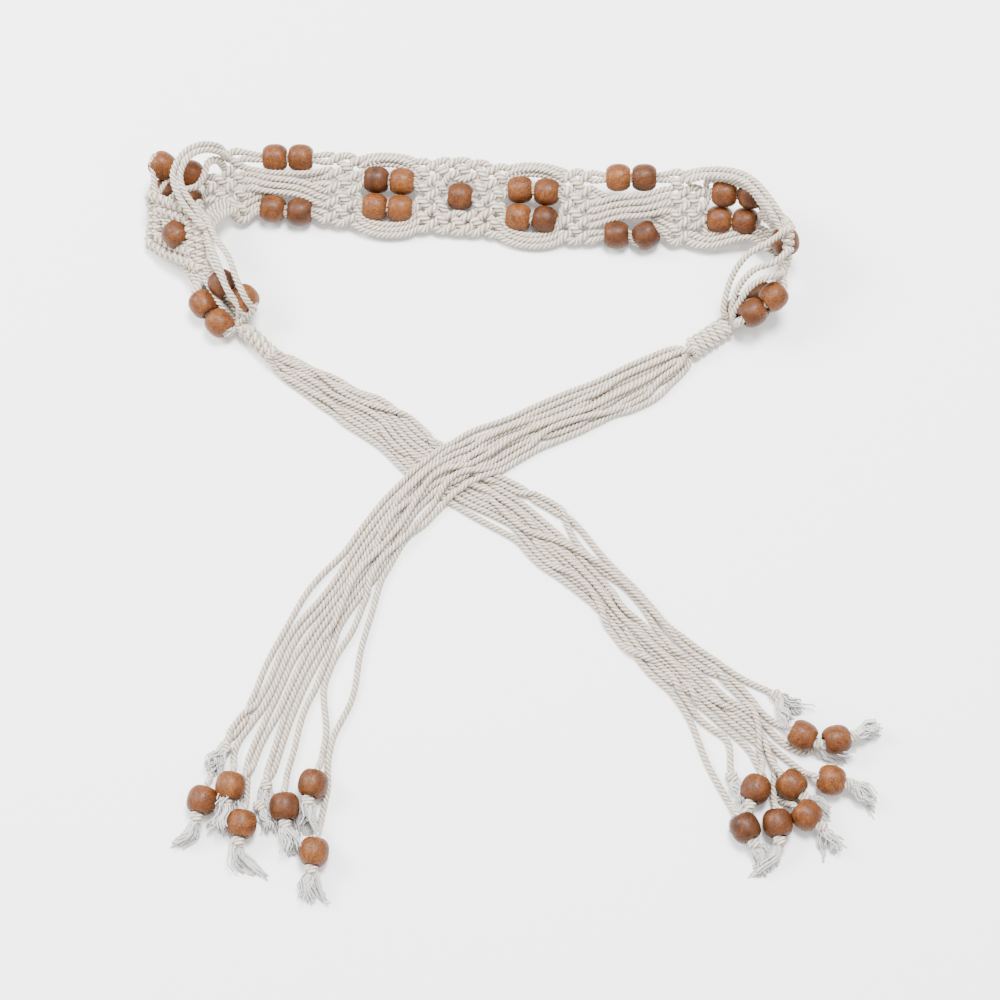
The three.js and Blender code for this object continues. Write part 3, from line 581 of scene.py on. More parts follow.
C1_LEFT, P_LEFT, C2_LEFT = along(-0.146), along(-0.35), along(-0.566)
C1_RIGHT, P_RIGHT, C2_RIGHT = along(0.16), along(0.376), along(0.605)
BESIDE_MIDDLE = 8.4

start = C2_LEFT + CLUSTER_HALF
for cord in (3, 4, 5, 6):
    visit(cord, start, slot_place(cord, start))
early = (P_LEFT - PAIRS_HALF - start) / 2
plait(start, start + early, 2, leave_out=(0, 1, 2, 7, 8, 9))
plait(start + early, P_LEFT - PAIRS_HALF, 2)
edge_pairs("left_edge", P_LEFT, -1)
plait(P_LEFT + PAIRS_HALF, C1_LEFT - CLUSTER_HALF, 3)
cluster("left_inner", C1_LEFT)
plait(C1_LEFT + CLUSTER_HALF, -BESIDE_MIDDLE, 3)
through_middle = order[4:6]
for cord, sign in zip(through_middle, (-1, 1)):
    routes[cord] += towards(bore_points("middle", across_at(0) * IN_HOLE * sign), band_at(80)[0])
plait(-BESIDE_MIDDLE, BESIDE_MIDDLE, 3, leave_out=(4, 5))
for j in (4, 5):
    visit(order[j], BESIDE_MIDDLE + 0.8, slot_place(j, 0))
plait(BESIDE_MIDDLE, C1_RIGHT - CLUSTER_HALF, 3)
cluster("right_inner", C1_RIGHT)
plait(C1_RIGHT + CLUSTER_HALF, P_RIGHT - PAIRS_HALF, 3)
edge_pairs("right_edge", P_RIGHT, 1)
middle_stop = (P_RIGHT + PAIRS_HALF + C2_RIGHT - CLUSTER_HALF) / 2
plait(P_RIGHT + PAIRS_HALF, middle_stop, 2)
plait(middle_stop, C2_RIGHT - CLUSTER_HALF, 2, leave_out=(0, 1, 8, 9))
print("after", step_number, "steps the cords lie in the order", order)

# %% [markdown]
# ## Round the curls
# At both ends the ribbon stands up on its edge and turns back. There the edge cords leave it and
# take a wide arc of their own, and the middle four go on through the last group of four beads. The
# arcs are given by the points that they pass over, as shares of the size of the loop.

# %% Cords from the last plait to the diamonds
def at_loop(x, y, z):
    """A point given as shares of the loop's size from the crossing of the tails."""
    return np.array([x, y, z]) * LOOP + origin


def beside(points, offset):
    """The same line moved sideways, level and square to its run."""
    points = np.asarray(points, float)
    run = unit(np.gradient(points, axis=0))
    return points + unit(np.cross(np.broadcast_to(UP, points.shape), run)) * offset


DIAMONDS = {
    # the middle along the band, half its length there, half its width
    "left": (along(-0.75), 33, 24),
    "right": (along(0.765), 24, 24),
}
SKEW = {"left": 11, "right": 0}


def bead_exit(side, row, j):
    """From the plait through the outer group of beads: the nearer bead first."""
    mid = C2_LEFT if side == "left" else C2_RIGHT
    points = thread_row(bead_row(side + "_outer", row), mid, -1 if j in (3, 5) else 1)
    return points[::-1] if side == "left" else points


LOOSE = {
    # shares of the loop: the arcs over the outer beads, the cord under them, the lower cords
    "left_arc": [
        (-0.332, 0.508, 0.09), (-0.353, 0.503, 0.108), (-0.375, 0.49, 0.116), (-0.389, 0.471, 0.116),
        (-0.395, 0.448, 0.111), (-0.386, 0.422, 0.102), (-0.367, 0.397, 0.092), (-0.353, 0.377, 0.084),
    ],
    "left_third": [
        (-0.338, 0.497, 0.077), (-0.351, 0.487, 0.086), (-0.356, 0.466, 0.084), (-0.367, 0.45, 0.078),
        (-0.385, 0.447, 0.073), (-0.401, 0.437, 0.076),
    ],
    "left_lower": [
        (-0.318, 0.443, 0.03), (-0.33, 0.434, 0.036), (-0.343, 0.419, 0.043), (-0.354, 0.394, 0.054),
    ],
    "right_arc": [
        (0.4, 0.467, 0.076), (0.42, 0.467, 0.088), (0.451, 0.462, 0.1), (0.479, 0.451, 0.108),
        (0.499, 0.433, 0.112), (0.516, 0.409, 0.112), (0.531, 0.386, 0.108), (0.544, 0.366, 0.1),
    ],
    "right_third": [
        (0.43, 0.462, 0.072), (0.453, 0.458, 0.08), (0.479, 0.448, 0.087), (0.499, 0.431, 0.09),
        (0.516, 0.407, 0.09),
    ],
    "right_lower": [
        (0.432, 0.386, 0.019), (0.456, 0.389, 0.024), (0.483, 0.393, 0.033), (0.502, 0.393, 0.036),
        (0.519, 0.386, 0.033), (0.531, 0.373, 0.032),
    ],
}


def outer_route(side, j):
    """The points after the last plait for the cord in slot j, up to the diamond's bars."""
    sign = -1 if side == "left" else 1
    mid, long, wide = DIAMONDS[side]
    near = mid - sign * long
    if 3 <= j <= 6:
        inside = [near + sign * 9] if side == "left" else [near - sign * 2, near + sign * 7]
        end = band_at(inside, [(j - 4.5) * 2.6] * len(inside))
        through = bead_exit(side, "lower" if j < 5 else "upper", j)
        if side == "left" and j >= 5:
            # the last bead hides where these two cords turn down to the diamond
            away = np.linalg.norm(np.array(through) - beads["left_outer_upper_1"][0], axis=1)
            through = through[: int(away.argmin()) + 1]
        return through + list(end)
    if j >= 8:
        line = [at_loop(*p) for p in LOOSE[side + "_arc"]] + [band_at(mid + sign * 2, wide - 4)[0]]
        return list(beside(line, (8.5 - j) * CORD * (-sign)))
    if j == 7:
        return [at_loop(*p) for p in LOOSE[side + "_third"]] + [band_at(mid - sign * 16, 10, -1)[0]]
    lower = [at_loop(*p) for p in LOOSE[side + "_lower"]]
    if side == "left":
        line = lower + [band_at(mid + 2, wide - 2, 1)[0], band_at(mid - 3, wide - 7)[0]]
    else:
        line = lower + [band_at(mid - 6, -17)[0], band_at(mid, -18)[0]]
    rise = np.linspace(0, 1, len(line))[:, None] * UP * (j - 1) * 1.5
    return list(beside(line, (j - 1) * (CORD - 0.3)) + rise)


left_ends = [outer_route("left", j) for j in range(SLOTS)]
right_ends = [outer_route("right", j) for j in range(SLOTS)]
slot_of = {cord: j for j, cord in enumerate(order)}
band_paths = []
for cord in range(SLOTS):
    points = left_ends[cord][::-1] + routes[cord] + right_ends[slot_of[cord]]
    band_paths.append(smooth_path(above_table(points, HALF_CORD)))
print("cords of the band, mm:", [round(lengths_along(p)[-1]) for p in band_paths])

# %% [markdown]
# ## Thick in the plait, thin in the beads
# A soft cord spreads where it crosses others and is squeezed in a drilled hole. So its thickness is
# worked out for each point of its path, from the stretches that are plaited and from the beads.

# %% The plaited cords as pieces
SQUEEZED = 8.5
SQUEEZE_EASE = 3.5
SWELL_EASE = 3
PLAITED = [
    # from, to
    (start, P_LEFT - PAIRS_HALF), (P_LEFT + PAIRS_HALF, C1_LEFT - CLUSTER_HALF),
    (C1_LEFT + CLUSTER_HALF, C1_RIGHT - CLUSTER_HALF), (C1_RIGHT + CLUSTER_HALF, P_RIGHT - PAIRS_HALF),
    (P_RIGHT + PAIRS_HALF, C2_RIGHT - CLUSTER_HALF),
]
middle_s = np.arange(-BAND_LEFT, BAND_RIGHT, 1.5)
middle_line = spine_at(middle_s)
bead_middles = np.array([centre for centre, _ in beads.values()])


def band_thickness(path):
    """IN_PLAIT where the nearest place of the middle line is in a plait and under half its width
    away, CORD elsewhere, and IN_BEAD as near as SQUEEZED to the middle of a bead, all eased."""
    off = np.linalg.norm(path[:, None] - middle_line[None], axis=2)
    s = middle_s[off.argmin(1)]
    inside = np.max([np.minimum(s - a, b - s) for a, b in PLAITED], axis=0)
    beside_it = PLAIT_WIDE / 2 + 2 - off.min(1)
    swell = np.clip(inside / SWELL_EASE + 0.5, 0, 1) * np.clip(beside_it / SWELL_EASE, 0, 1)
    away = np.linalg.norm(path[:, None] - bead_middles[None], axis=2).min(1)
    thick = CORD + (IN_PLAIT - CORD) * swell
    return IN_BEAD + (thick - IN_BEAD) * np.clip((away - SQUEEZED) / SQUEEZE_EASE, 0, 1)


for k in range(0, SLOTS, 2):
    cords = [laid_cord(p, thick=band_thickness(p), start=0.23 * k) for p in band_paths[k : k + 2]]
    cotton_pieces.append(cord_piece("plaited_cords_" + str(k // 2 + 1), cords, ["plaited_band"]))

# %% [markdown]
# ## The diamonds
# A bar of half hitches is a straight carrier cord with the other cords wound round it, two turns
# each. From outside only the turns show, so each side of a diamond is two rows of close turns round
# a line that isn't modelled. A turn is a helix: along the bar and round it at the same time.

# %% Wind the bars
TURN_PITCH = 3.8
TURN_RADIUS = 1.5
TURN_CORD = 3.9
FIRST_ROW = 3.2
ROW_APART = 6.0


def wound_bar(start, end, off):
    """Path = bar line + radius (cos turn normal + sin turn across), one turn for each pitch. start
    and end are places (s, v) on the band, off is the row's distance from them in the band."""
    a, b = np.array(start, float), np.array(end, float)
    span = b - a
    long = np.linalg.norm(span)
    inward = np.array([-span[1], span[0]]) / long * off
    count = max(3, round(long / TURN_PITCH))
    t = np.linspace(0, 1, int(count * 12) + 1)
    s, v = (a + inward + span * t[:, None]).T
    core = band_at(s, v)
    side = unit(band_at(s + inward[0] / off, v + inward[1] / off) - core)
    line = unit(np.gradient(core, axis=0))
    normal = unit(np.cross(line, side))
    turn = 2 * np.pi * count * t
    round_it = np.cos(turn)[:, None] * normal + np.sin(turn)[:, None] * side * 1.08
    path = above_table(core + TURN_RADIUS * round_it)
    return laid_cord(path, level=line, thick=TURN_CORD, start=0.3, ridge=0.45)


def half_corner(before, at, after):
    """Half the angle at a corner between its two sides."""
    return math.acos(np.clip(unit(before - at) @ unit(after - at), -1, 1)) / 2


for side, (mid, long, wide) in DIAMONDS.items():
    corners = [(mid + long, 0), (mid, wide), (mid - long, 0), (mid + SKEW[side], -wide)]
    corners = [np.array(c, float) for c in corners]
    bars = []
    for k in range(4):
        before, a, b, after = (corners[(k + i) % 4] for i in (-1, 0, 1, 2))
        run = unit(b - a)
        at_a, at_b = half_corner(b, a, before), half_corner(a, b, after)
        for off in (FIRST_ROW, FIRST_ROW + ROW_APART):
            # a row ends where it meets the next one
            bars.append(wound_bar(a + run * off / math.tan(at_a), b - run * off / math.tan(at_b), off))
    for sign in (-1, 1):
        sideways = across_at(mid) * IN_HOLE * sign
        ends = towards(bore_points(side + "_diamond", sideways), band_at(mid + 80)[0])
        tips = band_at([mid - long * 0.7, mid + long * 0.7], [sign * 2, sign * 2])
        bars.append(laid_cord(smooth_path([tips[0], *ends, tips[1]])))
    name = "half_hitch_diamond_" + side
    cotton_pieces.append(cord_piece(name, bars, ["plaited_band"]))

# %% [markdown]
# ## From the diamonds to the wrap knots
# Below each diamond the cords come out of the bars, four of them through the last four beads, and
# all ten are drawn together where the wrap knot starts. Three leave at the inner corner and take a
# short cut across the curve, which is why they stand out loosely from the rest.

# %% Gathered cords
KNOTS = {}
for side in ("left", "right"):
    corners = node_corners("wrap_knot_" + side)
    centre = corners.mean(0)
    _, directions = np.linalg.eigh(np.cov((corners - centre)[:, :2].T))
    run = np.append(directions[:, 1], 0)
    towards_tail = -band_at(along(-1 if side == "left" else 1))[0] + centre
    run = run * np.sign(run @ np.append(towards_tail[:2], 0))
    far = (corners - centre) @ run
    KNOTS[side] = dict(
        start=centre + run * far.min(), run=run, flat=left_of(run), long=np.ptp(far),
        wide=np.ptp((corners - centre) @ left_of(run)), high=np.ptp(corners[:, 2]),
    )
    print(side, "knot:", {k: np.round(v, 1) for k, v in KNOTS[side].items()})


SHORT_CUTS = {
    # shares of the loop: the points of the three loose cords of each side
    "left": [
        [(-0.33, 0.35, 0.089), (-0.312, 0.323, 0.09), (-0.299, 0.289, 0.084), (-0.286, 0.262, 0.073),
         (-0.276, 0.25, 0.05)],
        [(-0.338, 0.337, 0.084), (-0.324, 0.303, 0.084), (-0.313, 0.274, 0.075),
         (-0.297, 0.255, 0.055)],
        [(-0.336, 0.321, 0.079), (-0.32, 0.288, 0.077), (-0.306, 0.264, 0.065), (-0.289, 0.247, 0.043)],
    ],
    "right": [
        [(0.518, 0.341, 0.1), (0.49, 0.328, 0.092), (0.473, 0.313, 0.079), (0.461, 0.294, 0.063),
         (0.454, 0.271, 0.048), (0.452, 0.253, 0.034)],
        [(0.527, 0.31, 0.097), (0.497, 0.302, 0.087), (0.48, 0.29, 0.075), (0.469, 0.274, 0.058),
         (0.464, 0.256, 0.04)],
        [(0.526, 0.288, 0.094), (0.502, 0.283, 0.086), (0.485, 0.272, 0.075), (0.474, 0.258, 0.06),
         (0.466, 0.246, 0.04)],
    ],
}


def gathered(side):
    """The ten lines from the diamond's lower sides to the knot's mouth, and 5 mm into it."""
    sign = -1 if side == "left" else 1
    mid, long, wide = DIAMONDS[side]
    knot = KNOTS[side]
    mouth = knot["start"] * [1, 1, 0] + UP * knot["high"] / 2
    lanes = []
    last = along(-0.932 if side == "left" else 0.929)

    def mouth_points(a, b):
        """Just before the knot and inside it, a along its width and b up from its middle."""
        spot = mouth + knot["flat"] * a + UP * b
        return [spot - knot["run"] * 3, spot + knot["run"] * 5]

    for k, row in enumerate(("lower", "lower", "upper", "upper")):
        cord_sign = 1 if k % 2 else -1
        points = thread_row(bead_row(side + "_end", row), last, cord_sign)
        points = points[::-1] if side == "left" else points
        v = (-6, -3, 3, 6)[k]
        start = band_at([mid + sign * (long - 9), mid + sign * (long - 1)], v)
        lanes.append([*start, *points, *mouth_points((k - 1.5) * 1.2, -1.5)])
    start = band_at([mid + sign * (long - 6), mid + sign * long], 0)
    lanes.append([*start, band_at(last, 0, 0)[0], *mouth_points(0, 0)])
    for k in (0, 1):
        under = -6 * sign * np.array([0, 0.3, 0.9, 1.3, 1.0])
        outer = band_at(
            [mid + sign * 4, mid + sign * long * 0.5, last - sign * 15, last, last + sign * 9],
            [*((-11, -9) if side == "left" else (-17, -12)), -5 - 2 * k, -2 + 4 * k, 2 * k],
            under,
        )
        lanes.append([*outer, *mouth_points(-1.5 + 3 * k, -1)])
    for k, points in enumerate(SHORT_CUTS[side]):
        place = 1 + (5.5 if side == "left" else 9) * k
        edge = wide * (1 - place / long)
        start = band_at([mid + sign * (place - 1), mid + sign * (place + 1)], [edge - 8, edge - 2])
        lanes.append([*start, *[at_loop(*p) for p in points], *mouth_points((k - 1) * 2.2, 2)])
    return lanes


for side in ("left", "right"):
    cords = []
    for k, points in enumerate(gathered(side)):
        cords.append(laid_cord(smooth_path(above_table(points, HALF_CORD)), start=0.31 * k))
    cotton_pieces.append(cord_piece("gathered_cords_" + side, cords, ["plaited_band"]))

# %% [markdown]
# ## The wrap knots
# Each end is bound with square knots, one after another. From outside they are a row of slanting
# ridges with small bumps along both edges. So one cord is wound round the bundle as a coil, for the
# ridges, and a second one runs behind it and hooks round each turn at the sides, for the bumps.

# %% Square knots round the bundle
TURNS = 5.5
FRONT_CORD = CORD * 1.15
HOOK_CORD = CORD * 0.85
KNOT_SLANT = 1.6
CORE_APART = 1.35


def knot_cords(side):
    """A tight coil, x = wide cos(2 pi t), z = high sin(2 pi t), with its front halves slanting along
    the knot, and a second cord behind it that hooks round each turn and shows at the sides."""
    knot = KNOTS[side]
    run, flat = knot["run"], knot["flat"]
    centre = knot["start"] * [1, 1, 0] + UP * knot["high"] / 2
    upright = knot["high"] > knot["wide"]
    x_axis, z_axis = (UP, -flat if side == "left" else flat) if upright else (flat, UP)
    x_half = max(knot["wide"], knot["high"]) / 2 - HALF_CORD + 0.2
    z_half = min(knot["wide"], knot["high"]) / 2 - HALF_CORD + 0.4
    t = np.linspace(0, TURNS, int(TURNS * 26) + 1)
    y = 1.0 + (knot["long"] - 2.0) * t / TURNS
    x, z = np.cos(2 * np.pi * t), np.sin(2 * np.pi * t)
    square = np.sign(z) * np.abs(z) ** 0.7
    hook = np.clip((np.cos(4 * np.pi * t) - 0.3) / 0.7, 0, 1)
    x_hook = (x_half + 0.5) * -x * (1 - 0.25 * np.abs(z))
    z_hook = z_half * (0.5 * hook - 0.5 * np.abs(z))
    cords = []
    for x, z, thick in ((x_half * x, z_half * square, FRONT_CORD), (x_hook, z_hook, HOOK_CORD)):
        out = x[:, None] * x_axis + z[:, None] * z_axis
        slant = (x / (x_half + 0.5) * KNOT_SLANT)[:, None] * run
        path = eased(above_table(centre + y[:, None] * run + out + slant))
        cords.append(laid_cord(path, level=run, thick=thick, ridge=0.7))
    for k in range(4):
        aside = CORE_APART * (k - 1.5) * x_axis
        ends = [centre + run * r + aside for r in (-1, knot["long"] / 2, knot["long"] + 1)]
        cords.append(laid_cord(smooth_path(ends), level=x_axis, start=0.2 * k))
    return cords


for side in ("left", "right"):
    cotton_pieces.append(cord_piece("square_knots_" + side, knot_cords(side), ["wrap_knot_" + side]))

# %% [markdown]
# ## The two fringes
# Past the knots the ten cords hang loose. They lie on the table, cross one another, and spread out
# towards their ends. A table gives each fringe's own line, and for each cord how many cord widths it
# lies to the side of it at each station. Where the cords are heaped, they have to find their own
# heights, so that comes after as a small settling of all the cords at once.

# %% Tables of the fringes
LEFT_AXIS = [
    (-0.218, 0.164), (-0.144, 0.121), (-0.072, 0.074), (0, 0.013), (0.125, -0.063),
    (0.172, -0.108), (0.238, -0.17), (0.304, -0.249), (0.354, -0.31), (0.415, -0.378),
]
LEFT_CORDS = [
    # lanes, one a station; end; turn at the end, of the frayed tip; bare of a bead; via; height
    dict(lanes=(-0.9, -2.2, -2.8, -3.2, -4, -3.1, -2.9, -2.9, -2.9, -5.9),
         end=(0.422, -0.508), turn=-64, fray=-44),
    dict(lanes=(-0.9, -1.7, -2, -2.1, -2.1, -2.4, -2.5, -2.3, -2, -0.9),
         end=(0.421, -0.476), turn=-72, bare=1),
    dict(lanes=(0.3, 1.6, 1.9, 1.6, -1.4, 0.2, 3.3, 3, 5.2, 4.2),
         end=(0.438, -0.456), turn=-112, high=3),
    dict(lanes=(-0.5, -1.2, -1.2, -1.5, -1.2, -1.5, -1.8, -1.5, -1, 1.9),
         via=((0.468, -0.414), (0.461, -0.455)), end=(0.465, -0.502), turn=-86),
    dict(lanes=(-0.3, -0.7, -0.6, -0.9, -0.7, -1, -1.3, -0.8, -0.2, 0),
         via=((0.443, -0.411), (0.462, -0.462)), end=(0.504, -0.491), turn=-40, fray=-60),
    dict(lanes=(0, -0.2, 0, -0.3, -0.1, -0.4, -0.8, -0.2, 0.5, 3.2),
         end=(0.486, -0.45), turn=-48, fray=-20),
    dict(lanes=(0.2, 0.3, 0.5, 0.3, 0.6, 0.9, -0.3, 0.5, 1.2, 2.6), end=(0.539, -0.444), turn=-14),
    dict(lanes=(0.5, 0.8, 1.2, 1, 1.5, 1.7, 0.2, 1.2, 1.8, 4.8),
         via=((0.479, -0.392), (0.508, -0.407)), end=(0.549, -0.389), turn=12),
    dict(lanes=(0.8, 1.3, 2.4, 2.6, 3.6, 4, 2.1, 2.2, 3.6, 5.6),
         end=(0.504, -0.383), turn=-30, fray=-52),
    dict(lanes=(0.9, 2.2, 2.7, 3.3, 4, 4.6, 3.9, 3.6, 5.8, 9.6), end=(0.498, -0.355), turn=-50, bare=1),
]
RIGHT_AXIS = [
    (0.364, 0.18), (0.3, 0.141), (0.241, 0.107), (0.134, 0.061), (0.066, 0.023), (0, -0.011),
    (-0.064, -0.095), (-0.115, -0.176), (-0.158, -0.259), (-0.186, -0.337), (-0.21, -0.42),
]
RIGHT_LIFT = (0.4, 0, 0, 0.5, 1.6, 1.8, 0.9, 0, 0, 0, 0)
RIGHT_CORDS = [
    dict(lanes=(0.9, 3.3, 3.2, 3.6, 4, 2.9, 3.3, 4.7, 5.7, 5.7, 8.1), end=(-0.298, -0.471), turn=-104),
    dict(lanes=(0.7, 1.9, 2.3, 2.1, 2.6, 2.1, 2.2, 2.6, 4.2, 4.8, 8.9),
         end=(-0.294, -0.43), turn=-125, bare=1),
    dict(lanes=(0.5, 1.5, 1.4, 1.3, 1.8, 1.4, 1.4, 1.5, 2.5, 4.1, 5.3),
         end=(-0.261, -0.452), turn=-100),
    dict(lanes=(0.3, 0.7, 0.9, 0.8, 1, 0.7, 0.6, 0.7, 1.5, 3.3, 2.8), end=(-0.244, -0.503), turn=-98),
    dict(lanes=(0.1, 0.1, 0.2, 0.2, 0.3, 0, 0, 0, 0.3, 1.3, 2.2),
         end=(-0.272, -0.478), turn=-125, bare=1),
    dict(lanes=(-0.1, -0.6, -0.4, -0.4, -0.5, -0.7, -0.6, -0.8, -0.6, 0.4, -0.1),
         end=(-0.22, -0.489), turn=-98, bare=1),
    dict(lanes=(-0.3, -1.1, -0.8, -1, -1.2, -1.4, -1.2, -1.6, -1.4, -0.4, -1.2),
         end=(-0.208, -0.515), turn=-70, bare=1),
    dict(lanes=(-0.5, -1.7, -1.4, -1.6, -1.8, -2.1, -1.9, -2.3, -2.1, -3.1, -2.1),
         end=(-0.188, -0.48), turn=-86),
    dict(lanes=(-0.7, -2.4, -1.9, -2.4, -2.5, -2.8, -2.6, -3.3, -3.5, -5.7, -7.3),
         end=(-0.151, -0.449), turn=-104),
    dict(lanes=(-0.9, -3.9, -2.8, -3.3, -3.8, -4.2, -3.3, -4.2, -8.7, -7.5, -9.8),
         end=(-0.147, -0.54), turn=-97),
]
FRINGES = {
    "left": (LEFT_AXIS, [0] * len(LEFT_AXIS), LEFT_CORDS, 1),
    "right": (RIGHT_AXIS, RIGHT_LIFT, RIGHT_CORDS, -1),
}
print("cords in the fringes:", len(LEFT_CORDS), "and", len(RIGHT_CORDS))

# %% [markdown]
# ## From lanes to points
# A cord keeps its lane at each station, with a small sway of its own so that no two run quite
# alongside. Past the last stations it heads for its bead, or for its bare end, as the table says.

# %% Lay out the fringe cords
END_KNOT = 8.4
SWAY = 4.2
LAYER = 2.6
HIGH_FROM = 4.3


def flat_turn(degrees):
    """A level direction, turned from the x axis."""
    a = math.radians(degrees)
    return np.array([math.cos(a), math.sin(a), 0.0])


def fringe_line(side):
    """The fringe's own line as rows (station, x, y, z), from just past the wrap knot."""
    axis, lift, _, _ = FRINGES[side]
    knot = KNOTS[side]
    rows = np.zeros((len(axis), 4))
    rows[:, 0] = np.arange(len(axis))
    rows[:, 1:3] = np.array(axis) * TAIL_LONG + origin[:2]
    rows[0, 1:3] = (knot["start"] + knot["run"] * (knot["long"] + 3))[:2]
    rows[:, 3] = np.array(lift) * CORD
    return rows


wander = np.random.default_rng(21)


def lane_points(side, cord, layer):
    """At each quarter station: the fringe's line + the lane times its width + a sway, the mean of
    three sines of the station, both along the level normal. Layers keep crossing cords apart."""
    axis, _, _, mirror = FRINGES[side]
    rows = fringe_line(side)
    station = np.arange(0, len(axis) - 1 + 0.01, 0.25)
    lane = through_rows(np.column_stack([np.arange(len(axis)), cord["lanes"]]), station)[:, 1]
    at = through_rows(rows, station)[:, 1:]
    run = through_rows(rows, station + 0.05)[:, 1:3] - through_rows(rows, station - 0.05)[:, 1:3]
    aside = left_of(unit(run))
    at = at + aside * (mirror * lane * LANE)[:, None]
    waves = wander.random((3, 2)) * [[1, 6.3]] * 0.5 + [[0.5, 0]]
    sway = sum(np.sin(station * 2 * math.pi / (0.9 + w * 1.3) + 2 * phase) for w, phase in waves) / 3
    at = at + aside * (sway * SWAY * np.clip(station / 2, 0.15, 1))[:, None]
    at[:, 2] += HALF_CORD + layer * LAYER
    at[:, 2] += cord.get("high", 0) * CORD * np.clip(station - HIGH_FROM, 0, 1)
    return at


def on_table(place, high=0.0):
    """A point on the table from its shares of the tail's length."""
    return np.append(np.array(place) * TAIL_LONG + origin[:2], high)


def laid_out(side):
    """For each cord, its points before settling: from the knot along its lane, then its bead or its
    bare end. A point of the lane stays only where the end still lies well ahead of it."""
    axis, _, cords, mirror = FRINGES[side]
    knot = KNOTS[side]
    mouth = knot["start"] * [1, 1, 0] + knot["run"] * (knot["long"] - 2)
    bead_number = 0
    out = []
    for k, cord in enumerate(cords):
        at = lane_points(side, cord, k * 7 % 3)
        spread = (k - 4.5) / 4.5
        exit_at = mouth + knot["flat"] * mirror * spread * (knot["wide"] / 2 - 2)
        exit_at[2] = knot["high"] / 2 + (-1) ** k * (knot["high"] / 2 - 2.5)
        end = on_table(cord["end"])
        heading = flat_turn(cord["turn"])
        ahead = end - at * [1, 1, 0]
        keep = (np.linalg.norm(ahead, axis=1) > BEAD_LONG + 4) & (ahead @ heading > 0)
        keep[: 4 * (len(axis) - 2)] = True
        keep[0] = False
        via = [on_table(p, HALF_CORD) for p in cord.get("via", ())]
        fray = cord.get("fray", cord["turn"])
        if cord.get("bare"):
            knot_at = end - heading * FRAY_LONG + UP * (END_KNOT / 2 - 1)
            points = [exit_at, *at[keep], *via, knot_at - heading * 4, knot_at]
            out.append(dict(points=points, knot=knot_at, heading=heading, fray=fray))
            continue
        bead_number += 1
        name = side + "_tail_" + str(bead_number)
        centre, bore = beads[name]
        bore = bore * np.sign(bore @ heading)
        reach = BEAD_LONG / 2 + 1
        knot_at = centre + bore * (BEAD_LONG / 2 + 2.4)
        entry = [centre - bore * (reach + 2), centre - bore * reach, centre]
        points = [exit_at, *at[keep], *via, *entry, knot_at]
        out.append(dict(points=points, knot=knot_at, heading=bore, fray=fray, bead=name))
    return out


fringe = {side: laid_out(side) for side in FRINGES}
print("ends without a bead:", sum("bead" not in c for side in fringe.values() for c in side))

# %% [markdown]
# ## Let the cords settle
# Heaped cords rest on each other. The settling repeats four small moves: every point sinks a
# little, points of different cords that are closer than a cord's width push each other apart, points
# inside a bead are pushed out of it, and each cord eases its own kinks. Nothing sinks below the
# table. The first points, the ones in a bead and the last ones stay where they are.

# %% Settle all fringe cords together
SETTLE_STEP = 2.6
SETTLE_ROUNDS = 110
SEARCH_EVERY = 10
SINK = 0.25
REST_APART = CORD * 0.97
LOWEST = HALF_CORD * 0.97
PUSH = 0.42
PUSH_ASIDE = 0.34
EASE = 0.3
HOMING = 0.06

cords = fringe["left"] + fringe["right"]
paths = [smooth_path(np.array(c["points"]), SETTLE_STEP) for c in cords]
sizes = [len(p) for p in paths]
spots = above_table(np.vstack(paths), HALF_CORD)
owner = np.repeat(np.arange(len(paths)), sizes)
first = np.r_[0, np.cumsum(sizes)[:-1]]
home = spots.copy()
fixed = np.zeros(len(spots), bool)
for k, c in enumerate(cords):
    span = slice(first[k], first[k] + sizes[k])
    fixed[first[k] : first[k] + 2] = True
    if "bead" in c:
        away = np.linalg.norm(spots[span] - beads[c["bead"]][0], axis=1)
        fixed[span] |= away < BEAD_LONG / 2 + 4
    fixed[first[k] + sizes[k] - 1] = True
free = ~fixed
inner = np.ones(len(spots), bool)
inner[first] = False
inner[first + np.array(sizes) - 1] = False
inner_at = np.flatnonzero(inner)
tail_beads = [(beads[c["bead"]][0], k) for k, c in enumerate(cords) if "bead" in c]
bead_reach = BEAD_WIDE / 2 + HALF_CORD


def near_pairs():
    """Pairs of points of different cords that are near each other: for each shift between one cord
    and a later one, whole arrays of distances, kept where they are under two cords and a bit."""
    found = []
    for k in range(len(sizes)):
        mine = spots[first[k] : first[k] + sizes[k]]
        rest = first[k] + sizes[k]
        if rest < len(spots):
            gap = np.abs(mine[:, None] - spots[None, rest:]).max(-1)
            a, b = np.nonzero(gap < CORD + 2.5)
            found.append(np.stack([a + first[k], b + rest]))
    return np.hstack(found)


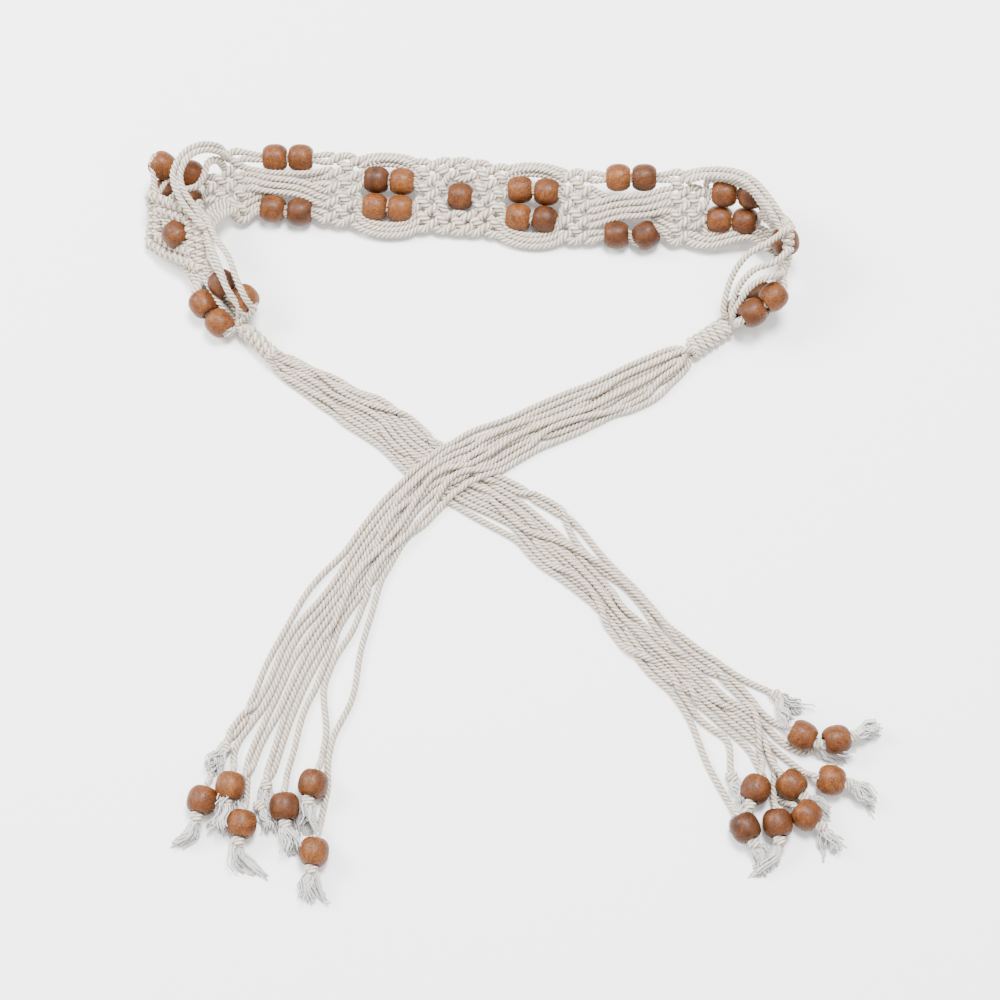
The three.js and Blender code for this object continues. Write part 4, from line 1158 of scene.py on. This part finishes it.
for turn in range(SETTLE_ROUNDS):
    if turn % SEARCH_EVERY == 0:
        near = near_pairs()
    spots[free, 2] -= SINK
    i, j = near
    apart = spots[i] - spots[j]
    distance = np.linalg.norm(apart, axis=1)
    close = distance < REST_APART
    i, j, apart, distance = i[close], j[close], apart[close], distance[close]
    apart[:, :2] *= PUSH_ASIDE
    push = unit(apart) * (REST_APART - distance)[:, None] * PUSH
    move = np.zeros_like(spots)
    for k in range(3):
        move[:, k] = np.bincount(i, push[:, k], len(spots)) - np.bincount(j, push[:, k], len(spots))
    count = np.bincount(i, minlength=len(spots)) + np.bincount(j, minlength=len(spots))
    move /= np.maximum(count, 1)[:, None] ** 0.5
    spots[free] += move[free]
    for centre, k in tail_beads:
        out = spots - centre
        far = np.linalg.norm(out, axis=1)
        inside = (far < bead_reach) & (owner != k) & free
        spots[inside] = centre + unit(out[inside]) * bead_reach
    between = (spots[inner_at - 1] + spots[inner_at + 1]) / 2
    ease = np.where(free[inner_at], EASE, 0)[:, None]
    spots[inner_at] += (between - spots[inner_at]) * ease
    spots[free, :2] += (home[free, :2] - spots[free, :2]) * HOMING
    spots[:, 2] = np.maximum(spots[:, 2], LOWEST)
settled = [smooth_path(spots[a : a + n]) for a, n in zip(first, sizes)]
print("highest cord of the fringes", round(float(spots[:, 2].max()), 1), "mm")
print("lengths of the fringe cords, mm:", [round(lengths_along(p)[-1]) for p in settled])

# %% [markdown]
# ## Knots and frayed tips
# Under each bead a tight overhand knot keeps it on, and below the knot the cord is unlaid into its
# yarns. A tip is about a hundred thin yarns in seven tufts. Each yarn starts inside the knot and
# bends away with its tuft, a little more with a curl of its own, and sinks to the table.

# %% Knots and yarns at the ends
rng = np.random.default_rng(7)
YARNS = 96
YARN_SIDES = 4
YARN_STEPS = 10
YARN_RADIUS = 0.54
YARN_LEAN = 0.06
YARN_CURL = 1.3
TUFTS = 7
TUFT_LEAN = (0.0, 0.27, 0.34)
TIP_BEND = 0.45


def end_knot(at, heading):
    """One and a half turns of cord round its own line: a short fat helix."""
    t = np.linspace(0, 1, 30)
    flat = unit(np.cross(heading, UP))
    turn = 2 * np.pi * 1.6 * t
    out = np.cos(turn)[:, None] * flat + np.sin(turn)[:, None] * np.cross(flat, heading)
    path = at + heading * (3.4 * (t[:, None] - 0.5)) + out * 1.75
    return laid_cord(above_table(path), level=heading, thick=CORD * 0.95)


def yarn_tuft(at, heading, fray):
    """Grids of thin tubes: start + along the tip + the spread of its tuft + one bend for the whole
    tip + a sine curl, sinking to the table as it goes. The width tapers to two thirds."""
    direction = flat_turn(fray)
    flat = left_of(direction)
    tufts = rng.normal(0, 1, (TUFTS, 3)) * TUFT_LEAN
    which = rng.integers(0, TUFTS, YARNS)
    lean = tufts[which] + rng.normal(0, YARN_LEAN, (YARNS, 3))
    long = FRAY_LONG * (0.6 + 0.42 * rng.random(YARNS))
    t = np.linspace(0, 1, YARN_STEPS)
    blend = np.minimum(t * 3, 1)[None, :, None]
    ahead = unit(heading[None, None] * (1 - blend) + direction[None, None] * blend)
    step = long[:, None, None] / (YARN_STEPS - 1)
    line = np.cumsum(np.broadcast_to(ahead * step, (YARNS, YARN_STEPS, 3)), axis=1)
    out = lean[:, 1][:, None, None] * flat + lean[:, 2][:, None, None] * UP
    line = line + out * (long[:, None, None] * t[None, :, None] ** 0.8)
    bend = rng.normal(0, TIP_BEND)
    line = line + (bend * long[:, None] * t[None, :] ** 2)[..., None] * flat
    tuft_wave = rng.random((TUFTS, 2))[which]
    phase = 6.3 * tuft_wave[:, 1:] + 0.5 * rng.random((YARNS, 1))
    curl = np.sin(t[None, :] * (5 + 5 * tuft_wave[:, :1]) + phase)
    line = line + (curl * np.minimum(1, t[None, :] * 2) * YARN_CURL)[..., None] * flat
    seat = rng.normal(0, 0.95, (YARNS, 3)) * [1, 1, 0.8]
    line = at + seat[:, None] + line - line[:, :1]
    sink = t[None, :] ** 1.2 * (at[2] - 1.2)
    line[..., 2] = np.maximum(line[..., 2] - sink, 0.35)
    run = unit(np.gradient(line, axis=1))
    side = unit(np.cross(run, UP))
    up = np.cross(side, run)
    angle = np.arange(YARN_SIDES) / YARN_SIDES * 2 * np.pi
    radius = YARN_RADIUS * (1 - 0.35 * t)[None, :, None, None]
    ring = np.cos(angle)[:, None] * side[:, :, None] + np.sin(angle)[:, None] * up[:, :, None]
    return line[:, :, None] + radius * ring


yarn_pieces = []
yarn_lays = np.linspace(0, 1.5, YARN_STEPS)
for side, offset in (("left", 0), ("right", len(fringe["left"]))):
    node = ["tail_" + side]
    paths = settled[offset : offset + len(fringe[side])]
    for half, part in enumerate((slice(0, 5), slice(5, 10))):
        cords_here = [
            laid_cord(p, thick=IN_FRINGE, start=0.29 * k) for k, p in enumerate(paths[part])
        ]
        cords_here += [end_knot(c["knot"], c["heading"]) for c in fringe[side][part]]
        cotton_pieces.append(cord_piece("fringe_" + side + "_" + str(half + 1), cords_here, node))
    grids = [g for c in fringe[side] for g in yarn_tuft(c["knot"], c["heading"], c["fray"])]
    yarns = [(g, yarn_lays) for g in grids]
    seeds = 0.13 * np.arange(len(yarns))
    yarn_pieces.append(tube_piece("frayed_tips_" + side, yarns, node, seeds))

# %% [markdown]
# ## The beads
# A barrel bead is turned on a lathe: a bulging side, rounded rims, flat ends and a drilled hole. Its
# outline is one closed line of points, carried round its axis. No two beads are alike in colour, so
# each has its own tint, and its own piece of grain, because each was cut from another bit of wood.

# %% Turn the beads
BEAD_ROUND = 28
BEAD_WOBBLE = 0.012


def bead_outline():
    """Radius and place along the axis: the bore, a small end face with a soft rim, the side
    r = wide (1 - |y / reach|^2.5)^0.4, which is rounder than a barrel, and the same back."""
    half, bore, wide = BEAD_LONG / 2, BEAD_HOLE / 2, BEAD_WIDE / 2
    y = np.sin(np.linspace(-1, 1, 17) * np.pi / 2) * (half - 0.25)
    r = wide * (1 - np.abs(y / (half + 1.05)) ** 2.5) ** 0.4
    side = np.stack([r, y], 1)
    top = np.array([(r[0] - 0.35, half), (bore + 0.55, half - 0.1), (bore, half - 0.7)])
    bottom = (top * [1, -1])[::-1]
    return np.vstack([bottom, side, top])


OUTLINE = bead_outline()


def turned_bead(name, number):
    """Point = centre + radius (cos angle x + sin angle y) + place along the axis. The radius wobbles
    a little, so that a bead isn't perfectly round, and grain and tint are its own."""
    centre, axis = beads[name]
    helper = UP if abs(axis[2]) < 0.9 else np.array([1.0, 0, 0])
    x = unit(np.cross(helper, axis))
    y = np.cross(axis, x)
    angle = np.arange(BEAD_ROUND) / BEAD_ROUND * 2 * np.pi
    local = np.stack([
        OUTLINE[:, :1] * np.cos(angle), OUTLINE[:, :1] * np.sin(angle),
        np.broadcast_to(OUTLINE[:, 1:], (len(OUTLINE), BEAD_ROUND)),
    ], -1)
    wobble = 1 + BEAD_WOBBLE * np.sin(2 * angle + number) * (OUTLINE[:, :1] > BEAD_HOLE / 2 + 0.1)
    shaped = local * np.stack([wobble, wobble, np.ones_like(wobble)], -1)
    points = centre + shaped @ np.stack([x, y, axis])
    rows = len(OUTLINE)
    index = np.arange(rows * BEAD_ROUND).reshape(rows, BEAD_ROUND)
    nxt = np.roll(index, -1, axis=1)
    above, nxt_above = np.roll(index, -1, axis=0), np.roll(nxt, -1, axis=0)
    quads = np.stack([index, nxt, nxt_above, above], -1).reshape(-1, 4)
    piece = put_mesh("turned_" + name, points.reshape(-1, 3), quads, np.zeros((0, 3), int))
    turn = rng.normal(0, 1, (3, 3))
    u, _, w = np.linalg.svd(turn)
    grain = local.reshape(-1, 3) @ (u @ w) + rng.random(3) * 300
    corner_values(piece, "grain", "FLOAT_VECTOR", grain)
    corner_values(piece, "tint", "FLOAT", np.full(len(grain), rng.random()))
    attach(piece, "root")
    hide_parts("bead_" + name)
    return piece


bead_pieces = [turned_bead(name, k) for k, name in enumerate(beads)]
print(len(bead_pieces), "beads of", 2 * len(bead_pieces[0].data.polygons), "triangles")

# %% [markdown]
# ## Writing materials
# A material is a small calculation that is made for every point. To write it as one, a socket is
# wrapped in a class that knows plus, minus, times and power, and each of those adds its Math node.
# Any other node comes from one method, with its settings first and its sockets after.

# %% A socket that can be calculated with
class Wire:
    """A value in a material. The operators add Math nodes and give the result's socket."""

    def __init__(self, bench, socket):
        self.bench, self.socket = bench, socket

    def maths(self, operation, a, b):
        return self.bench.node("ShaderNodeMath", {"operation": operation}, {0: a, 1: b})

    def __add__(self, other):
        return self.maths("ADD", self, other)

    def __radd__(self, other):
        return self.maths("ADD", other, self)

    def __sub__(self, other):
        return self.maths("SUBTRACT", self, other)

    def __rsub__(self, other):
        return self.maths("SUBTRACT", other, self)

    def __mul__(self, other):
        return self.maths("MULTIPLY", self, other)

    def __rmul__(self, other):
        return self.maths("MULTIPLY", other, self)

    def __pow__(self, other):
        return self.maths("POWER", self, other)


class Finish:
    """A material under construction. Each of its nodes comes from the method node."""

    def __init__(self, name):
        self.material = bpy.data.materials.new(name)
        self.material.use_nodes = True
        self.tree = self.material.node_tree
        self.shader = self.tree.nodes["Principled BSDF"]

    def node(self, kind, settings=None, values=None, out=0):
        """A node of a kind, with its settings, then its sockets, each a number or a wire."""
        node = self.tree.nodes.new(kind)
        for key, value in (settings or {}).items():
            if key == "stops":
                ramp = node.color_ramp
                while len(ramp.elements) < len(value):
                    ramp.elements.new(1.0)
                for element, (place, colour) in zip(ramp.elements, value):
                    element.position = place
                    element.color = (*colour, 1)
            else:
                setattr(node, key, value)
        for key, value in (values or {}).items():
            self.feed(node.inputs[key], value)
        return Wire(self, node.outputs[out])

    def feed(self, socket, value):
        if isinstance(value, Wire):
            self.tree.links.new(value.socket, socket)
        else:
            socket.default_value = value

    def noise(self, place, scale, detail, **more):
        """A noise texture at a place, with any further sockets by name."""
        values = {"Vector": place, "Scale": scale, "Detail": detail}
        return self.node("ShaderNodeTexNoise", None, {**values, **more})

    def spread(self, *parts):
        """A place from its three parts."""
        return self.node("ShaderNodeCombineXYZ", None, dict(enumerate(parts)))

    def bump(self, strength, distance, height):
        values = {"Strength": strength, "Distance": distance, "Height": height}
        return self.node("ShaderNodeBump", None, values, out="Normal")

    def colour_mix(self, share, a, b):
        """Colour a turned into colour b by a share. On a Mix node of colours the sockets 6 and 7 are
        the two colours and output 2 is the result."""
        a = (*a, 1) if isinstance(a, tuple) else a
        b = (*b, 1) if isinstance(b, tuple) else b
        return self.node("ShaderNodeMix", {"data_type": "RGBA"}, {0: share, 6: a, 7: b}, out=2)

    def finish(self, sockets):
        """The shader's own sockets, by name."""
        for key, value in sockets.items():
            self.feed(self.shader.inputs[key], value)
        return self.material


def sheet_colour(red, green, blue):
    """A colour as it is seen on a screen (0 to 255), as the light values that Blender wants."""
    c = np.array([red, green, blue]) / 255
    return tuple(float(x) for x in np.where(c > 0.04045, ((c + 0.055) / 1.055) ** 2.4, c / 12.92))


# %% [markdown]
# ## Cotton
# Raw cotton cord is a warm off-white. Shade is painted into the grooves between its strands, darker
# there than on the crests. Its fibres lie nearly along the cord and stand up a little as a soft nap.
# The place map of each cord turns with the strands, so adding the place along to the place round
# undoes that turn, and a noise stretched along the cord then gives the fibres.

# %% The cotton finish
def cotton_finish(name, pale, warm, groove_shade_amount):
    """Patches between a pale and a warm tone, streaked by strand and fibre, with shade painted darker
    by the power of the distance from a crest, where a crest is a cosine with three waves round the
    cord."""
    make = Finish(name)
    place = make.node("ShaderNodeAttribute", {"attribute_name": "lay"}, out="Vector")
    x, y, z = (make.node("ShaderNodeSeparateXYZ", None, {0: place}, out=k) for k in range(3))
    straight = x + y
    wave = make.node("ShaderNodeMath", {"operation": "COSINE"}, {0: x * (6 * math.pi)})
    crest = wave * 0.5 + 0.5
    fibre = make.noise(make.spread(x * 26.0, y * 3.2, z * 40.0), 1.0, 4.0, Roughness=0.65)
    strand = make.noise(make.spread(straight * 9.0, y * 1.2, z * 17.0), 1.0, 2.0)
    here = make.node("ShaderNodeTexCoord", out="Object")
    patch = make.noise(here, 22.0, 3.0)
    fuzz = make.noise(here, 2600.0, 2.0)
    base = make.colour_mix(patch, pale, warm)
    streaked = make.colour_mix(strand * 0.22, base, sheet_colour(196, 186, 174))
    # painted shade: away from each crest the colour is mixed towards a dark brown, darkest in the
    # grooves
    groove_shaded = make.colour_mix((1 - crest) ** 1.5 * groove_shade_amount, streaked, sheet_colour(100, 84, 70))
    lit = make.colour_mix(fibre * 0.25, groove_shaded, sheet_colour(244, 240, 235))
    height = fibre * 0.8 + fuzz * 0.5 + strand * 0.3
    bump = make.bump(0.55, 0.00035, height)
    soft = {"Sheen Weight": 0.25, "Sheen Roughness": 0.5, "Specular IOR Level": 0.15}
    return make.finish({"Base Color": lit, "Roughness": 0.92, "Normal": bump, **soft})


# the last number is how strongly shade is painted into the grooves between the strands
cotton = cotton_finish("cotton_cord", sheet_colour(214, 203, 184), sheet_colour(200, 180, 156), 0.95)
tips = cotton_finish("cotton_yarn", sheet_colour(204, 206, 207), sheet_colour(176, 174, 170), 0.3)
for piece in cotton_pieces:
    piece.data.materials.append(cotton)
for piece in yarn_pieces:
    piece.data.materials.append(tips)
print("cotton on", len(cotton_pieces) + len(yarn_pieces), "pieces")

# %% [markdown]
# ## Wood
# The beads are a warm brown hardwood with a thin polish. The grain is long soft bands of lighter
# and darker wood with short dark pores along them. Both are noises stretched along the grain's own
# direction, which differs from bead to bead, and the bead's tint moves its whole colour.

# %% The wood finish
def wood_finish(name):
    """A ramp of browns by bands + cloud + tint, with dark pores, and bump and roughness to match."""
    make = Finish(name)
    place = make.node("ShaderNodeAttribute", {"attribute_name": "grain"}, out="Vector")
    tint = make.node("ShaderNodeAttribute", {"attribute_name": "tint"}, out="Fac")
    along_grain = make.node("ShaderNodeMapping", None, {"Vector": place, "Scale": (0.32, 0.32, 0.04)})
    bands = make.noise(along_grain, 1.0, 3.0, Distortion=0.6)
    pore_place = make.node("ShaderNodeMapping", None, {"Vector": place, "Scale": (2.4, 2.4, 0.5)})
    pores = make.noise(pore_place, 1.0, 3.0, Roughness=0.7)
    pore = make.node("ShaderNodeMapRange", None, {"Value": pores, "From Min": 0.48, "From Max": 0.6})
    cloud = make.noise(place, 0.14, 2.0)
    shade = bands * 0.55 + cloud * 0.35 + tint * 0.3 - 0.1
    stops = [
        (0.25, sheet_colour(58, 29, 8)),
        (0.5, sheet_colour(94, 50, 17)),
        (0.78, sheet_colour(132, 78, 34)),
    ]
    body = make.node("ShaderNodeValToRGB", {"stops": stops}, {0: shade})
    dotted = make.colour_mix(pore * 0.85, body, sheet_colour(36, 18, 8))
    height = 1 - pore * 0.8 + bands * 0.3
    bump = make.bump(0.25, 0.0002, height)
    rough = pore * 0.2 + bands * 0.15 + 0.36
    polish = {"Specular IOR Level": 0.22, "Coat Weight": 0.05, "Coat Roughness": 0.25}
    return make.finish({"Base Color": dotted, "Roughness": rough, "Normal": bump, **polish})


wood = wood_finish("turned_wood")
for piece in bead_pieces:
    piece.data.materials.append(wood)
print("wood on", len(bead_pieces), "beads")

# %% [markdown]
# ## Table and light
# The belt was photographed on plain white with soft light from all round. A large pale floor, a
# broad light above, one from the left and a bright surround keep the shadows faint, as there.

# %% Floor and lights
FLOOR_HALF = 3.0
ground = bpy.data.meshes.new("floor")
corners = [(FLOOR_HALF * x, FLOOR_HALF * y, 0) for x, y in ((-1, -1), (1, -1), (1, 1), (-1, 1))]
ground.from_pydata(corners, [], [(0, 1, 2, 3)])
floor = bpy.data.objects.new("floor", ground)
bpy.context.scene.collection.objects.link(floor)
paper = Finish("pale_paper")
speck = paper.node("ShaderNodeTexCoord", out="Object")
tone = paper.node("ShaderNodeTexNoise", None, {"Vector": speck, "Scale": 3.0})
white = paper.colour_mix(tone, sheet_colour(247, 247, 247), sheet_colour(250, 250, 250))
floor.data.materials.append(paper.finish({"Base Color": white, "Roughness": 0.8}))


def soft_light(name, place, size, watts):
    """A round lamp that faces the middle of the belt."""
    data = bpy.data.lights.new(name, "AREA")
    data.shape = "DISK"
    data.size = size
    data.energy = watts
    light = bpy.data.objects.new(name, data)
    light.location = place
    light.rotation_euler = (-Vector(place)).to_track_quat("-Z", "Y").to_euler()
    bpy.context.scene.collection.objects.link(light)


soft_light("soft_top", (0.2, 0.5, 1.9), 0.7, 105)
soft_light("soft_left", (-1.3, 0.5, 1.2), 0.8, 52)
world = bpy.data.worlds.new("bright_room")
world.use_nodes = True
world.node_tree.nodes["Background"].inputs["Color"].default_value = (1, 1, 1, 1)
world.node_tree.nodes["Background"].inputs["Strength"].default_value = 1.6
bpy.context.scene.world = world
print("floor and two soft lights")
